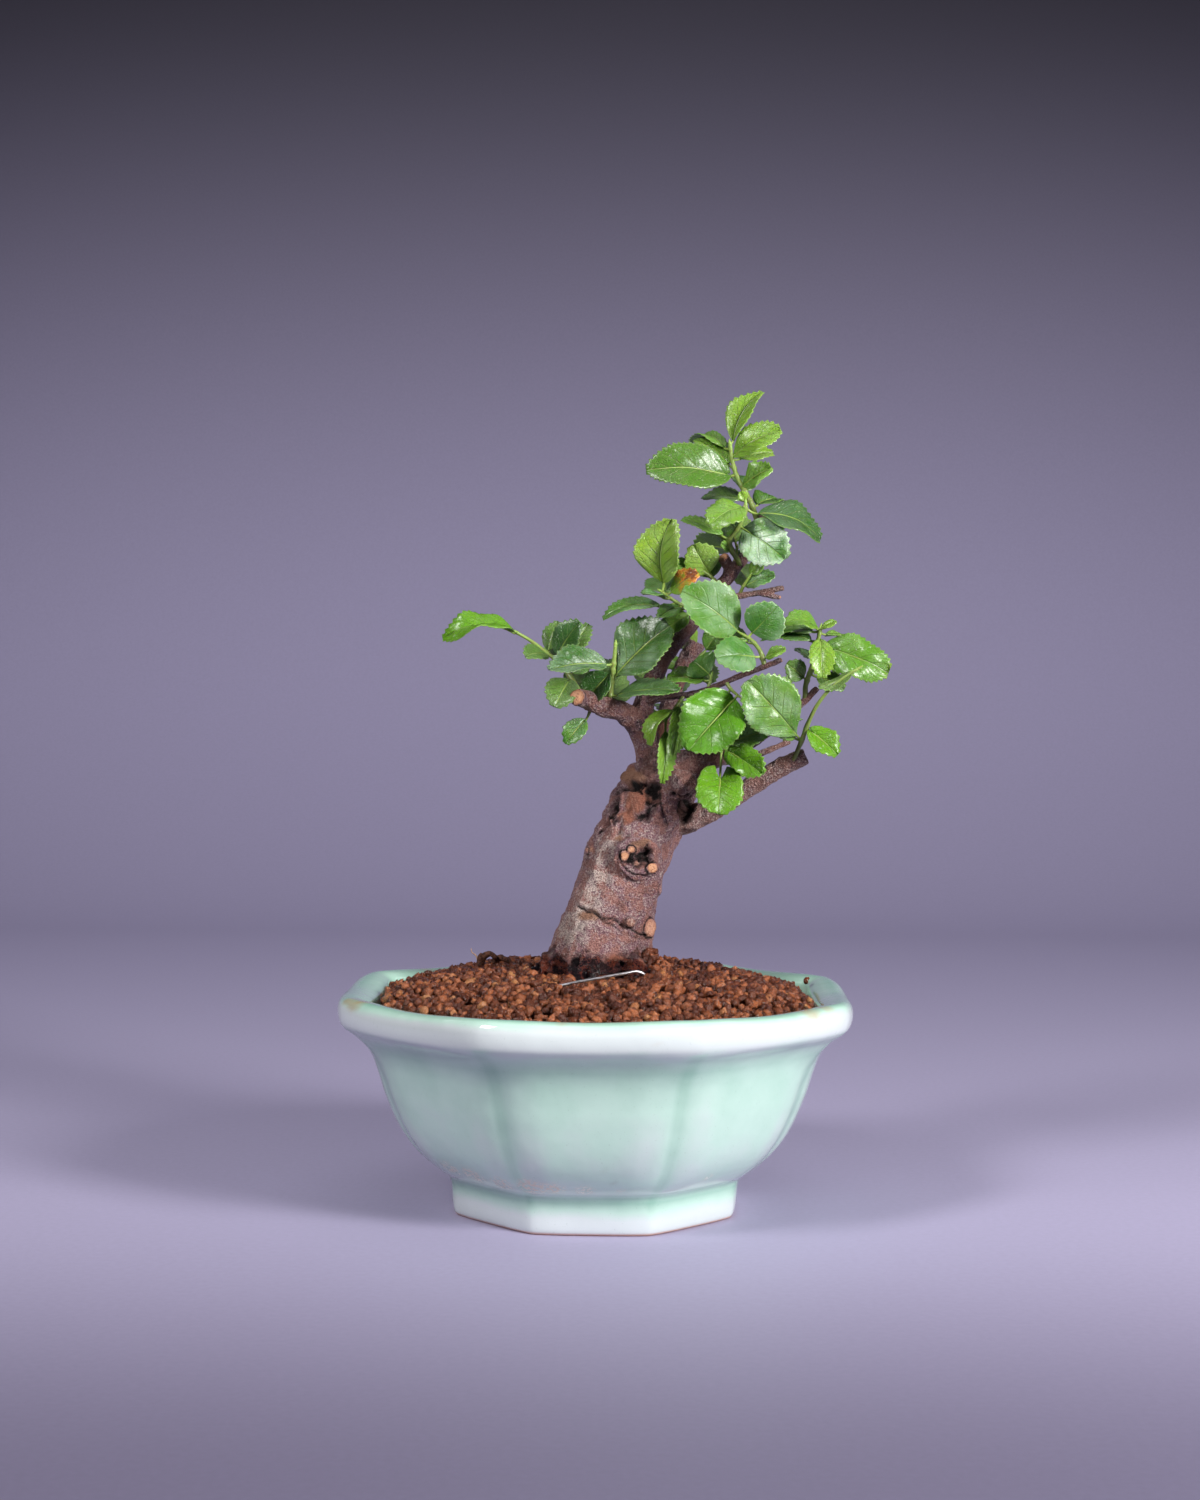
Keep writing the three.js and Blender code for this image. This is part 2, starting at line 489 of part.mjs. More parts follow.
const shoots = [
  { name: 'shoot_apex', radius: 0.8,
    stem: [[48.4, -2, 208], [46.2, -4, 213.9], [44.6, -4, 217.2], [41.7, -3, 222.6], [40.2, -2, 228],
      [39.5, -2, 232.5]],
    leaves: [
      leaf(1, [49.4, -1, 248.7], 9.6, [-0.6, -0.75, 0.1], { fold: 24, bend: 0.06, petiole: 1.5 }),
      leaf(0.82, [55.6, -6, 235.6], 14, [0, -0.76, 0.66], { fold: 10, bend: 0.13, petiole: 1.5 }),
      leaf(0.7, [53.4, 4, 229.4], 8, [0, -0.7, 0.6], { bend: 0.1 }),
      leaf(0.62, [14.7, -9, 222.5], 17, [0, -0.75, 0.65], { bend: 0.1, petiole: 3 }),
      leaf(0.7, [29.7, 6, 235], 12, [0.3, -0.7, 0.6]),
      leaf(0.95, [27.2, 12, 235], 9, [0, -0.3, 1], { bend: 0.18 }),
      leaf(0.4, [52.2, -10, 226], 10.4, [-0.2, -0.75, 0.6], { fold: 20, petiole: 1.5 }),
      leaf(0.3, [31.5, 2, 217], 11, [0, -0.5, 0.85]),
      leaf(0.2, [54.6, 4, 216.5], 10, [0, -0.5, 0.85], { bend: 0.12 }),
      leaf(0.45, [47, 15, 223], 11, [0.1, 0.5, 0.8], { bend: 0.12 }),
    ] },
  { name: 'shoot_upper', radius: 0.75,
    stem: [[42.8, -3, 196], [39.2, -8, 202.8], [41.3, -10, 206.2], [43.8, -11, 211.4], [43.8, -11, 214]],
    leaves: [
      leaf(0.95, [32.6, -18, 206.4], 11.6, [-0.4, -0.85, 0.4], { fold: 14, bend: 0.14, petiole: 1.6 }),
      leaf(1, [42.2, -11, 217.6], 3.4, [0, -0.8, 0.5], { petiole: 0.8 }),
      leaf(0.45, [54.8, -22, 197], 16, [0.1, -0.85, 0.5], { fold: 8, petiole: 1.6 }),
      leaf(0.85, [66.3, -9, 203.8], 17, [0, -0.48, 0.88], { fold: 18, bend: 0.16, petiole: 4 }),
      leaf(0.3, [25, -4, 209.8], 8, [0, -0.15, 1], { fold: 6 }),
      leaf(0.5, [39.6, 1, 211], 5, [0, -0.5, 0.8]),
      leaf(0.25, [34, 9, 207], 10, [-0.2, 0.5, 0.8], { bend: 0.1 }),
      leaf(0.15, [36.4, -9, 202], 3.6, [0, -0.9, 0.3], { petiole: 0.8 }),
    ] },
  { name: 'shoot_leader_left', radius: 0.65,
    stem: [[36.8, -2, 189.5], [33.5, -5, 192.5], [29.5, -7, 195]],
    leaves: [
      leaf(0.5, [29.4, -9, 201.4], 9.5, [-0.2, -0.9, 0.3], { petiole: 1 }),
      leaf(1, [22.4, -8.6, 193.2], 8, [0, -0.9, 0.4], { petiole: 1 }),
      leaf(0.35, [31.6, -13, 189.8], 5.4, [0.2, -0.9, 0.3], { petiole: 1 }),
      leaf(0.6, [29.4, 1, 192], 5, [0, -0.4, 0.9], { petiole: 1 }),
    ] },
  { name: 'shoot_leader_right', radius: 0.55,
    stem: [[42.4, -5, 186.4], [43.6, -6.4, 189.4], [45.2, -7.4, 192]],
    leaves: [
      leaf(0.5, [53, -9.6, 192.6], 6, [0, -0.8, 0.6], { petiole: 1 }),
      leaf(1, [49.6, -8, 197.8], 4.4, [-0.2, -0.9, 0.3], { petiole: 1 }),
    ] },
  { name: 'shoot_middle_left', radius: 0.65,
    stem: [[30, -3, 180.2], [27, -6, 182.5], [23.3, -8, 184.4], [19, -9, 187.3]],
    leaves: [
      leaf(1, [21.2, -14, 209], 15.8, [-0.35, -0.9, 0.2], { fold: 16, bend: 0.07, petiole: 3 }),
      leaf(0.8, [13, -14, 186.4], 8, [0, -0.3, 0.95], { fold: 10 }),
      leaf(0.66, [1.2, -6, 179.2], 9, [0, -0.2, 1], { bend: 0.16, petiole: 5 }),
      leaf(0.4, [18.6, 2, 180.6], 8, [0, -0.4, 0.9], { petiole: 2 }),
      leaf(0.9, [21, 13, 193], 12, [-0.2, 0.6, 0.7], { fold: 14, bend: 0.08 }),
      leaf(0.5, [18, -14, 179.4], 6, [-0.2, -0.8, 0.5], { petiole: 1.5 }),
    ] },
  { name: 'shoot_twig_end', radius: 0.7,
    stem: [[49.3, -18, 165.5], [48, -18, 169.6], [45.3, -17, 173], [43.2, -16, 174.4]],
    leaves: [
      leaf(1, [24.8, -22, 186.6], 16.2, [-0.2, -0.85, 0.5], { fold: 16, bend: 0.1 }),
      leaf(0.8, [52.8, -21, 182.4], 12.6, [0.3, -0.9, 0.2], { fold: 18, petiole: 2 }),
      leaf(0.2, [34.8, -25, 167.4], 12, [0, -0.8, 0.6], { fold: 8, petiole: 2.5 }),
      leaf(0.15, [55.4, -22, 170], 4, [0, -0.8, 0.6], { petiole: 1 }),
    ] },
  { name: 'shoot_right_upper', radius: 0.75,
    stem: [[62.4, -8, 155], [62.6, -9, 160], [64, -10, 164.3], [65.3, -10, 169.5], [66.4, -10, 175],
      [66.7, -10, 176.5]],
    leaves: [
      leaf(1, [57.2, -13, 179.2], 8, [0, -0.4, 0.9], { bend: 0.2, petiole: 1 }),
      leaf(1, [71.4, -12, 178.6], 3.4, [0, -0.7, 0.7], { petiole: 0.8 }),
      leaf(0.92, [52.6, -1, 177.4], 8, [0, -0.3, 1]),
      leaf(0.72, [53.4, 3, 171], 7, [0, -0.4, 0.9]),
      leaf(0.8, [68.6, -18, 163], 8.4, [0.1, -0.95, 0.2], { fold: 14, petiole: 2 }),
      leaf(0.86, [77, -5, 172.8], 6, [0, -0.2, 1], { petiole: 2 }),
      leaf(0.6, [87.4, -12, 162], 13.6, [0, -0.8, 0.55], { fold: 14, bend: 0.12, petiole: 2.6 }),
      leaf(0.4, [71, 1, 162.6], 7, [0, -0.5, 0.8]),
      leaf(0.55, [65, 11, 168], 9.4, [0, 0.5, 0.8], { bend: 0.1 }),
      leaf(0.35, [73.6, -14, 158.4], 7, [0.1, -0.7, 0.6]),
      leaf(0.25, [56.4, -12, 166], 7, [-0.1, -0.9, 0.3], { petiole: 1.5 }),
    ] },
  { name: 'shoot_right_lower', radius: 0.65,
    stem: [[58.2, -10.4, 135], [60.6, -14, 142], [64, -17, 151.4], [67.2, -19, 156.6], [71.6, -20.6, 161],
      [76.6, -22, 164.4]],
    leaves: [
      leaf(0.22, [72, -18, 137.2], 8.4, [0.1, -0.9, 0.4], { petiole: 1.5 }),
      leaf(0.27, [43.6, -26, 159.6], 17.5, [-0.3, -0.85, 0.45], { fold: 12, bend: 0.08, petiole: 3 }),
      leaf(0.22, [50.4, -14, 147.4], 6.6, [0, -0.8, 0.6], { petiole: 2 }),
    ] },
  { name: 'shoot_second_stem', radius: 0.65,
    stem: [[25.5, 11, 163], [29, 14, 166], [32.6, 16, 169.6]],
    leaves: [
      leaf(1, [38.6, 18, 177], 7, [-0.1, -0.9, 0.4], { petiole: 1.5 }),
      leaf(0.9, [20.4, 15, 184], 8, [0, -0.9, 0.4], { petiole: 3 }),
      leaf(0.4, [18, 19, 166.4], 6.5, [0, -0.7, 0.6]),
      leaf(0.5, [36, 26, 160], 9, [0.1, 0.6, 0.8], { bend: 0.12 }),
      leaf(0.8, [22, 29, 173], 12, [-0.1, 0.7, 0.7], { fold: 14 }),
    ] },
  { name: 'shoot_front_twig', radius: 0.6,
    stem: [[38, -16, 160.4], [39.4, -17.6, 158.2], [41.4, -18.6, 156.4]],
    leaves: [
      leaf(1, [28.2, -26, 138], 20, [0.1, -0.9, 0.4], { fold: 26, bend: 0.06, petiole: 1.5 }),
    ] },
  { name: 'shoot_twig_top', radius: 0.55,
    stem: [[32.6, -14.6, 158], [33.4, -14.4, 160.4], [33.8, -13.8, 162]],
    leaves: [
      leaf(1, [31, -11, 170.4], 11, [0, -0.95, 0.3], { fold: 22, petiole: 1 }),
      leaf(0.6, [20.4, -13, 161], 6, [0, -0.2, 1], { petiole: 2 }),
    ] },
  { name: 'shoot_centre', radius: 0.6,
    stem: [[25.6, -12.4, 156], [23.4, -14.4, 153], [20.4, -15.4, 149.4]],
    leaves: [
      leaf(0.3, [22.4, -19, 140.6], 6, [0.5, -0.8, 0.2], { petiole: 1.5 }),
      leaf(0.5, [15.8, -17, 141], 8.4, [-0.8, -0.5, 0.2], { fold: 20, bend: 0.22, petiole: 1.5 }),
      leaf(1, [19.4, -20, 129.6], 7.6, [0, -1, 0.1], { fold: 34, petiole: 4 }),
    ] },
  { name: 'shoot_right_branch', radius: 0.65,
    stem: [[36.4, -4, 138.2], [36.6, -11, 140.4], [38.4, -13.4, 141.6]],
    leaves: [
      leaf(0.7, [35.6, -23, 120], 14, [0, -0.95, 0.3], { fold: 8, petiole: 8 }),
      leaf(0.7, [50, -18, 134.6], 10, [0, -0.9, 0.4], { petiole: 2 }),
      leaf(1, [40.6, -13, 146.6], 4.4, [0, -0.9, 0.4], { petiole: 1 }),
      leaf(0.9, [51.2, -11.6, 146], 8, [0, -0.85, 0.5], { petiole: 2 }),
    ] },
  { name: 'shoot_left_upright', radius: 0.85,
    stem: [[3.2, -9.4, 153.4], [3.8, -10.5, 159], [4.5, -11.5, 165], [5, -12, 171]],
    leaves: [
      leaf(0.5, [21.4, -15, 177.4], 16.8, [-0.3, -0.8, 0.5], { fold: 14, bend: 0.06, petiole: 2.5 }),
      leaf(0.7, [-15.6, -20, 163.6], 12, [0, -0.7, 0.7], { fold: 24, bend: 0.08 }),
      leaf(0.16, [24, -22, 157.6], 9.6, [0, -0.6, 0.8], { bend: 0.06 }),
      leaf(0.6, [-3.8, -20, 154.4], 9, [-0.3, -0.9, 0.2], { fold: 18, bend: 0.12, petiole: 1.5 }),
      leaf(0.55, [12.4, -9, 164.4], 4, [0, -0.8, 0.5]),
      leaf(0.4, [3, 5, 167], 11, [0, 0.4, 0.9], { bend: 0.1 }),
    ] },
  { name: 'shoot_left_hanging', radius: 0.55,
    stem: [[-2.4, -9, 151.6], [-3.2, -8.6, 149.6]],
    leaves: [
      leaf(1, [-10.2, -11, 141], 7, [-0.2, -0.9, 0.3], { petiole: 1 }),
    ] },
  { name: 'shoot_left_outer', radius: 0.75,
    stem: [[-4.8, -12.4, 155.4], [-8.8, -8.6, 162], [-12.5, -6, 166.5], [-15.6, -5, 168.7], [-20.5, -5, 172.4],
      [-25, -6, 175]],
    leaves: [
      leaf(1, [-47.4, -8, 172.6], 10.5, [0, -0.5, 0.85], { fold: 16, bend: 0.18, petiole: 1 }),
      leaf(0.6, [-22, -15, 167.4], 7.4, [0, -0.8, 0.5], { petiole: 1.5 }),
      leaf(0.45, [-5.6, -11, 178.2], 9.4, [-0.1, -0.85, 0.4], { petiole: 1.5 }),
      leaf(0.6, [-12.4, -1, 178.6], 6, [-0.2, -0.9, 0.3], { petiole: 1 }),
      leaf(0.35, [-3, -2, 177.6], 7, [0, -0.9, 0.4]),
      leaf(0.3, [-12, 9, 173], 10, [-0.1, 0.5, 0.8], { bend: 0.1 }),
      leaf(0.18, [-13.4, -16, 152.2], 9.4, [-0.1, -0.9, 0.3], { petiole: 1.5 }),
      leaf(0.2, [-3.8, -2, 166], 6, [0, -0.9, 0.4], { petiole: 1.5 }),
    ] },
  { name: 'shoot_back_stem', radius: 0.7,
    stem: [[21, 8, 146], [22, 17, 150.4], [24, 24, 157]],
    leaves: [
      leaf(1, [35, 31, 166], 13, [0.2, 0.6, 0.7], { bend: 0.1 }),
      leaf(0.9, [11, 31, 163], 13, [-0.3, 0.7, 0.6], { fold: 16, bend: 0.08 }),
      leaf(0.7, [25, 40, 148], 12, [0, 0.7, 0.7], { bend: 0.14 }),
      leaf(0.6, [38, 25, 149], 10, [0.3, 0.6, 0.6]),
      leaf(0.5, [8, 24, 148], 10, [-0.3, 0.7, 0.6]),
    ] },
  { name: 'shoot_back_right', radius: 0.65,
    stem: [[57.4, 3, 142], [58, 10, 147], [57, 15, 152]],
    leaves: [
      leaf(1, [63, 22, 163], 11, [0.3, 0.5, 0.8], { bend: 0.12 }),
      leaf(0.9, [48, 26, 160], 12, [-0.2, 0.7, 0.7], { fold: 16 }),
      leaf(0.7, [60, 25, 149], 9, [0.4, 0.5, 0.7]),
      leaf(0.5, [46, 17, 148], 9, [0, 0.8, 0.6]),
    ] },
  { name: 'shoot_back_left', radius: 0.65,
    stem: [[12.6, -2, 142], [8, 4.6, 148], [3.6, 9, 154]],
    leaves: [
      leaf(1, [-11, 12, 162], 12, [-0.3, 0.5, 0.8], { bend: 0.1 }),
      leaf(0.9, [5, 22, 166], 12, [0, 0.8, 0.5], { fold: 16 }),
      leaf(0.7, [-1, 21, 152], 9, [-0.3, 0.7, 0.6]),
    ] },
  { name: 'shoot_back_top', radius: 0.65,
    stem: [[39.6, -1.4, 193], [41.6, 5.4, 197.4], [42.6, 10, 202]],
    leaves: [
      leaf(1, [40, 16, 214.4], 12, [0, 0.8, 0.5], { fold: 16 }),
      leaf(0.9, [30, 20, 202], 12, [-0.3, 0.7, 0.6], { bend: 0.12 }),
      leaf(0.7, [54, 18, 204], 12, [0.3, 0.6, 0.7], { bend: 0.12 }),
      leaf(0.5, [48, 15, 190], 10, [0.2, 0.8, 0.5]),
    ] },
];

function shootBody({ stem, radius, leaves }) {
  const curve = new THREE.CatmullRomCurve3(stem.map(vector), false, 'centripetal');
  const stalk = limb(stem, [radius, radius * 0.75], { sides: 5, steps: 2 * (stem.length - 1) });
  const leafy = leaves.reduce((body, spec) => body.add(leafBody(curve, spec)), stalk);
  return leafy.subtract(grownWood);
}

const shootNodes = shoots.map((shoot) => node(shoot.name, shootBody(shoot), foliage));

// Assembly

const bonsai = new THREE.Group();
bonsai.name = 'sweet_plum_bonsai';
bonsai.add(pot, screen, soil, tieWire, treeWood, ...shootNodes);
bonsai.position.copy(ORIGIN_SHIFT);

export default bonsai;
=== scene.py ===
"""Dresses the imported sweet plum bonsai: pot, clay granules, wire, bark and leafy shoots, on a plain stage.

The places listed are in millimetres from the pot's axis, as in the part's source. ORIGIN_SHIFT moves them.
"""

import math

import bpy
import numpy as np
from bpy.props import FloatProperty, FloatVectorProperty, PointerProperty
from mathutils import Matrix, Vector


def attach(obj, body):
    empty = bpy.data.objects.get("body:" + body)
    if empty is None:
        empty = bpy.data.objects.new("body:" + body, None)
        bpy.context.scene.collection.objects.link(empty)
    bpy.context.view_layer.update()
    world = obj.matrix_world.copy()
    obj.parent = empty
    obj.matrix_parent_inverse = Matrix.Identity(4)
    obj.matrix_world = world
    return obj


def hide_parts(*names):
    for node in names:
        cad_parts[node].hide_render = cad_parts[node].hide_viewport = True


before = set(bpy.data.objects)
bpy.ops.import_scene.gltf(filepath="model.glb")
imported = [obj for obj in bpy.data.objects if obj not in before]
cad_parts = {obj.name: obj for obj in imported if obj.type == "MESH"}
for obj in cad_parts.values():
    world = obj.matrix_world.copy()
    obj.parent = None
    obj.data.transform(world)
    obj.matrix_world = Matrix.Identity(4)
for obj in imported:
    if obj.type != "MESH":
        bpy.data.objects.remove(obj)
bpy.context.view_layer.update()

bl_info = {
    "name": "Sweet Plum Bonsai",
    "version": (1, 0, 0),
    "blender": (4, 5, 0),
    "location": "View3D > Sidebar > Bonsai",
    "description": "Dresses a packed bonsai with glaze, clay granules, bark and leaves",
    "category": "Object",
}

MM = 0.001
ORIGIN_SHIFT = np.array([-5.4, 0.0, 0.0])
# Where the first ring of a tube starts: towards the front
FIRST_SIDE = (0, -1, 0.01)


# Colour, noise and mesh helpers

def linear(code):
    """sRGB hex to linear red, green and blue."""
    channels = [int(code[i:i + 2], 16) / 255 for i in (0, 2, 4)]
    return tuple(c / 12.92 if c <= 0.04045 else ((c + 0.055) / 1.055) ** 2.4 for c in channels)


def unit(values):
    """Vectors of length 1 along the given ones."""
    values = np.asarray(values, float)
    return values / np.maximum(np.linalg.norm(values, axis=-1, keepdims=True), 1e-12)


def smooth(low, high, values):
    """0 below low, 1 above high, and a soft step between them."""
    share = np.clip((values - low) / (high - low), 0, 1)
    return share * share * (3 - 2 * share)


def corner_value(x, y, z, seed):
    """A fixed random number from 0 to 1 for each corner of a unit grid."""
    mixed = (x * np.uint32(73856093)) ^ (y * np.uint32(19349663)) ^ (z * np.uint32(83492791))
    mixed = (mixed ^ np.uint32(seed * 2654435761 % 4294967296)) * np.uint32(1274126177)
    mixed = (mixed ^ (mixed >> np.uint32(15))) * np.uint32(2246822519)
    return (mixed ^ (mixed >> np.uint32(13))).astype(float) / 4294967296


def noise(points, size, seed):
    """Smooth noise from 0 to 1, with lumps of the given size or sizes in millimetres."""
    place = np.asarray(points, float) / size + 512
    cell = np.floor(place).astype(np.int64)
    part = place - cell
    part = part * part * (3 - 2 * part)
    corner = cell.astype(np.uint32)
    total = np.zeros(len(place))
    for dx in (0, 1):
        for dy in (0, 1):
            for dz in (0, 1):
                share = np.abs(1 - dx - part[:, 0]) * np.abs(1 - dy - part[:, 1])
                share = share * np.abs(1 - dz - part[:, 2])
                step = corner + np.array([dx, dy, dz], np.uint32)
                total += share * corner_value(step[:, 0], step[:, 1], step[:, 2], seed)
    return total


def layered(points, size, seed, layers=3):
    """Noise with finer lumps added on the coarse ones, from 0 to 1."""
    total, weight = np.zeros(len(points)), 0
    for layer in range(layers):
        share = 0.5 ** layer
        total += share * noise(points, np.asarray(size) * share, seed + 17 * layer)
        weight += share
    return total / weight


class Spline:
    """The part's own smooth curve through its points: centripetal Catmull-Rom."""

    def __init__(self, points):
        self.points = np.asarray(points, float)

    def at(self, share):
        points = self.points
        count = len(points)
        place = (count - 1) * share
        i = min(int(place), count - 2)
        weight = place - i
        first = points[i - 1] if i > 0 else 2 * points[0] - points[1]
        last = points[i + 2] if i + 2 < count else 2 * points[-1] - points[-2]
        p = [first, points[i], points[i + 1], last]
        d = [max(np.sum((p[k + 1] - p[k]) ** 2) ** 0.25, 1e-4) for k in range(3)]
        start = (p[1] - p[0]) / d[0] - (p[2] - p[0]) / (d[0] + d[1]) + (p[2] - p[1]) / d[1]
        end = (p[2] - p[1]) / d[1] - (p[3] - p[1]) / (d[1] + d[2]) + (p[3] - p[2]) / d[2]
        start, end = start * d[1], end * d[1]
        cubic = [p[1], start, 3 * (p[2] - p[1]) - 2 * start - end, 2 * (p[1] - p[2]) + start + end]
        return sum(c * weight ** k for k, c in enumerate(cubic))

    def along(self, shares):
        return np.array([self.at(s) for s in shares])


def rings(centres):
    """Directions to the side of and across a line of ring centres, turned as little as possible."""
    tangents = unit(np.gradient(centres, axis=0))
    sides, others = [], []
    side = np.array(FIRST_SIDE)
    for tangent in tangents:
        side = unit(side - tangent * side.dot(tangent))
        sides.append(side)
        others.append(np.cross(tangent, side))
    return np.array(sides), np.array(others)


def tube(points, radii, sides, steps, relief=None):
    """A closed tapering tube along a smooth curve: vertices, faces, and how far along it each vertex is."""
    shares = np.linspace(0, 1, steps + 1)
    centres = Spline(points).along(shares)
    side, other = rings(centres)
    radius = np.interp(shares, np.linspace(0, 1, len(radii)), radii)
    angle = np.arange(sides) * 2 * math.pi / sides
    reach = radius[:, None] * np.ones(sides)
    if relief:
        reach = reach * relief(angle[None, :], shares[:, None])
    ring = centres[:, None] + reach[..., None] * (
        np.cos(angle)[None, :, None] * side[:, None] + np.sin(angle)[None, :, None] * other[:, None])
    vertices = np.concatenate([ring.reshape(-1, 3), centres[:1], centres[-1:]])
    faces = []
    for i in range(steps):
        for j in range(sides):
            k = (j + 1) % sides
            faces.append((i * sides + j, i * sides + k, (i + 1) * sides + k, (i + 1) * sides + j))
    low, high = len(vertices) - 2, len(vertices) - 1
    top = steps * sides
    for j in range(sides):
        k = (j + 1) % sides
        faces.append((low, k, j))
        faces.append((high, top + j, top + k))
    share = np.concatenate([np.repeat(shares, sides), [0, 1]])
    return vertices, faces, share


class Parts:
    """Collects closed bodies with their values and material numbers, to become one piece."""

    def __init__(self):
        self.vertices, self.faces, self.slots, self.values, self.count = [], [], [], {}, 0

    def add(self, vertices, faces, slot=0, **values):
        self.vertices.append(vertices)
        self.faces += [tuple(int(i) + self.count for i in face) for face in faces]
        self.slots += [slot] * len(faces)
        for name in sorted(set(values) | set(self.values)):
            column = self.values.setdefault(name, [np.zeros(self.count)] if self.count else [])
            column.append(np.broadcast_to(np.asarray(values.get(name, 0.0), float), (len(vertices),)))
        self.count += len(vertices)

    def piece(self, name, materials, slot, nodes=()):
        values = {key: np.concatenate(parts) for key, parts in self.values.items()}
        return make_piece(name, np.concatenate(self.vertices), self.faces, materials, nodes,
                          values, self.slots)


def make_piece(name, vertices, faces, materials, nodes=(), values=None, slots=None):
    """One object in the part's frame, riding on its body, with smooth shading and its vertex values."""
    mesh = bpy.data.meshes.new(name)
    mesh.from_pydata(((np.asarray(vertices) + ORIGIN_SHIFT) * MM).tolist(), [], faces)
    for material in materials:
        mesh.materials.append(material)
    if slots is not None:
        mesh.polygons.foreach_set("material_index", slots)
    mesh.polygons.foreach_set("use_smooth", [True] * len(mesh.polygons))
    for key, column in (values or {}).items():
        mesh.attributes.new(key, "FLOAT", "POINT").data.foreach_set("value", column.astype(np.float32))
    mesh.update()
    piece = bpy.data.objects.new(name, mesh)
    bpy.context.scene.collection.objects.link(piece)
    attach(piece, "root")
    if nodes:
        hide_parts(*nodes)
    return piece


# Material helper

def add(tree, kind, inputs=None, out=0, stops=None, **settings):
    """Adds one shader node from values or sockets and its own options, and returns an output socket."""
    node = tree.nodes.new("ShaderNode" + kind)
    for key, value in settings.items():
        setattr(node, key, value)
    for key, value in (inputs or {}).items():
        if isinstance(value, bpy.types.NodeSocket):
            tree.links.new(value, node.inputs[key])
        else:
            node.inputs[key].default_value = value
    if stops:
        while len(node.color_ramp.elements) < len(stops):
            node.color_ramp.elements.new(0.5)
        for element, (place, colour) in zip(node.color_ramp.elements, stops):
            element.position = place
            element.color = (*colour, 1)
    return node.outputs[out]



def opaque(colour):
    """A colour with alpha 1. A socket stays as it is."""
    return colour if isinstance(colour, bpy.types.NodeSocket) else (*colour[:3], 1)


def mix(tree, share, below, above, **settings):
    """Lays one colour over another by a share."""
    return add(tree, "MixRGB", {"Fac": share, "Color1": opaque(below), "Color2": opaque(above)}, **settings)


def remap(tree, value, start=0, end=1, low=0, high=1, **settings):
    """Carries a value from one range to another and holds it inside."""
    ends = {"From Min": start, "From Max": end, "To Min": low, "To Max": high}
    return add(tree, "MapRange", {"Value": value, **ends}, **settings)


def calc(tree, operation, *values, **settings):
    """One sum on numbers or sockets."""
    return add(tree, "Math", dict(enumerate(values)), operation=operation, **settings)


def material(name, **settings):
    """A new material with one Principled shader, and its shader's own sockets set."""
    made = bpy.data.materials.new(name)
    made.use_nodes = True
    shader = made.node_tree.nodes["Principled BSDF"]
    for key, value in settings.items():
        shader.inputs[key.replace("_", " ").title().replace("Ior", "IOR")].default_value = value
    return made, made.node_tree, shader


# Glazed pot

POT_TURN = math.radians(-1.5)
FLUTE_DEPTH = 2.7
PANEL_BULGE = 1.1
PANEL = math.pi / 4
FLUTE_HALF_ANGLE = math.radians(4.2)
SHOULDER_HALF_ANGLE = math.radians(11)
SHOULDER_SHARE = 0.62

# Half width, height, flute and glaze pooling, from the foot up, over the lip, down inside and out below.
# Pooling is 0 where the glaze ran thin and white, and 1 where it ran together and is darkest.
POT_ROWS = [
    (40.6, 0, 0.2, 0.0), (41.3, 0.25, 0.25, 0.0), (41.9, 1.1, 0.3, 0.0), (42.25, 3, 0.34, 0.06),
    (42.45, 5.6, 0.38, 0.24), (42.6, 8, 0.4, 0.5), (42.9, 9.8, 0.42, 0.72), (43.6, 11.4, 0.45, 0.66),
    (44.7, 12.3, 0.52, 0.34), (46.2, 13.2, 0.6, 0.26), (48.2, 14.8, 0.7, 0.44), (50.4, 16.7, 0.8, 0.5),
    (52.6, 18.9, 0.9, 0.5), (55.1, 22, 1, 0.48), (57.2, 25.4, 1, 0.48), (59.2, 29.4, 1, 0.48),
    (60.8, 33.4, 1, 0.5), (62.3, 37.4, 1, 0.52), (63.5, 41.5, 1, 0.54), (64.5, 44.6, 0.95, 0.56),
    (65.4, 47.2, 0.9, 0.58), (66.4, 49.4, 0.8, 0.58), (67.6, 51.4, 0.7, 0.64), (69, 53.2, 0.6, 0.56),
    (70.6, 54.8, 0.6, 0.48), (72.3, 56, 0.64, 0.4), (74, 57.2, 0.7, 0.3), (75.1, 58.4, 0.74, 0.24),
    (75.6, 59.9, 0.76, 0.12), (75.8, 61.6, 0.76, 0.08), (75.75, 63.2, 0.74, 0.14), (75.3, 64.6, 0.7, 0.34),
    (74.5, 65.7, 0.62, 0.6), (73.2, 66.3, 0.52, 0.8), (71.8, 66.4, 0.42, 0.9), (69.4, 66, 0.25, 0.74),
    (67.6, 65.3, 0.15, 0.7), (66.2, 64.4, 0.1, 0.76), (65.5, 63.4, 0.05, 0.8), (65.2, 62.2, 0, 0.8),
    (61.2, 50, 0, 0.6), (57.8, 40, 0, 0.5), (53, 27.6, 0, 0.5), (44.4, 18.4, 0, 0.5),
    (34, 14.5, 0, 0.5), (7.5, 14.5, 0, 0.5), (7.5, 8, 0, 0.1), (34.6, 8, 0, 0.1),
    (36.4, 6.2, 0, 0.1), (37, 3, 0, 0.05), (37.1, 0, 0, 0.0),
]
LIP_HALF_WIDTH = max(row[0] for row in POT_ROWS)
# Rows up to this one get one more between them where they lie further apart than LONG_STEP
LAST_SPLIT_ROW = 40
LONG_STEP = 1.2
# Hand finishing lifts the lip between these heights
LIP_START, LIP_FULL, LIP_TOP = 54, 62, 66.5
LIP_SWING, CORNER_SINK = 0.35, 0.4
ROUND_HOLE = 7.5
STEPS_PER_PANEL = 28

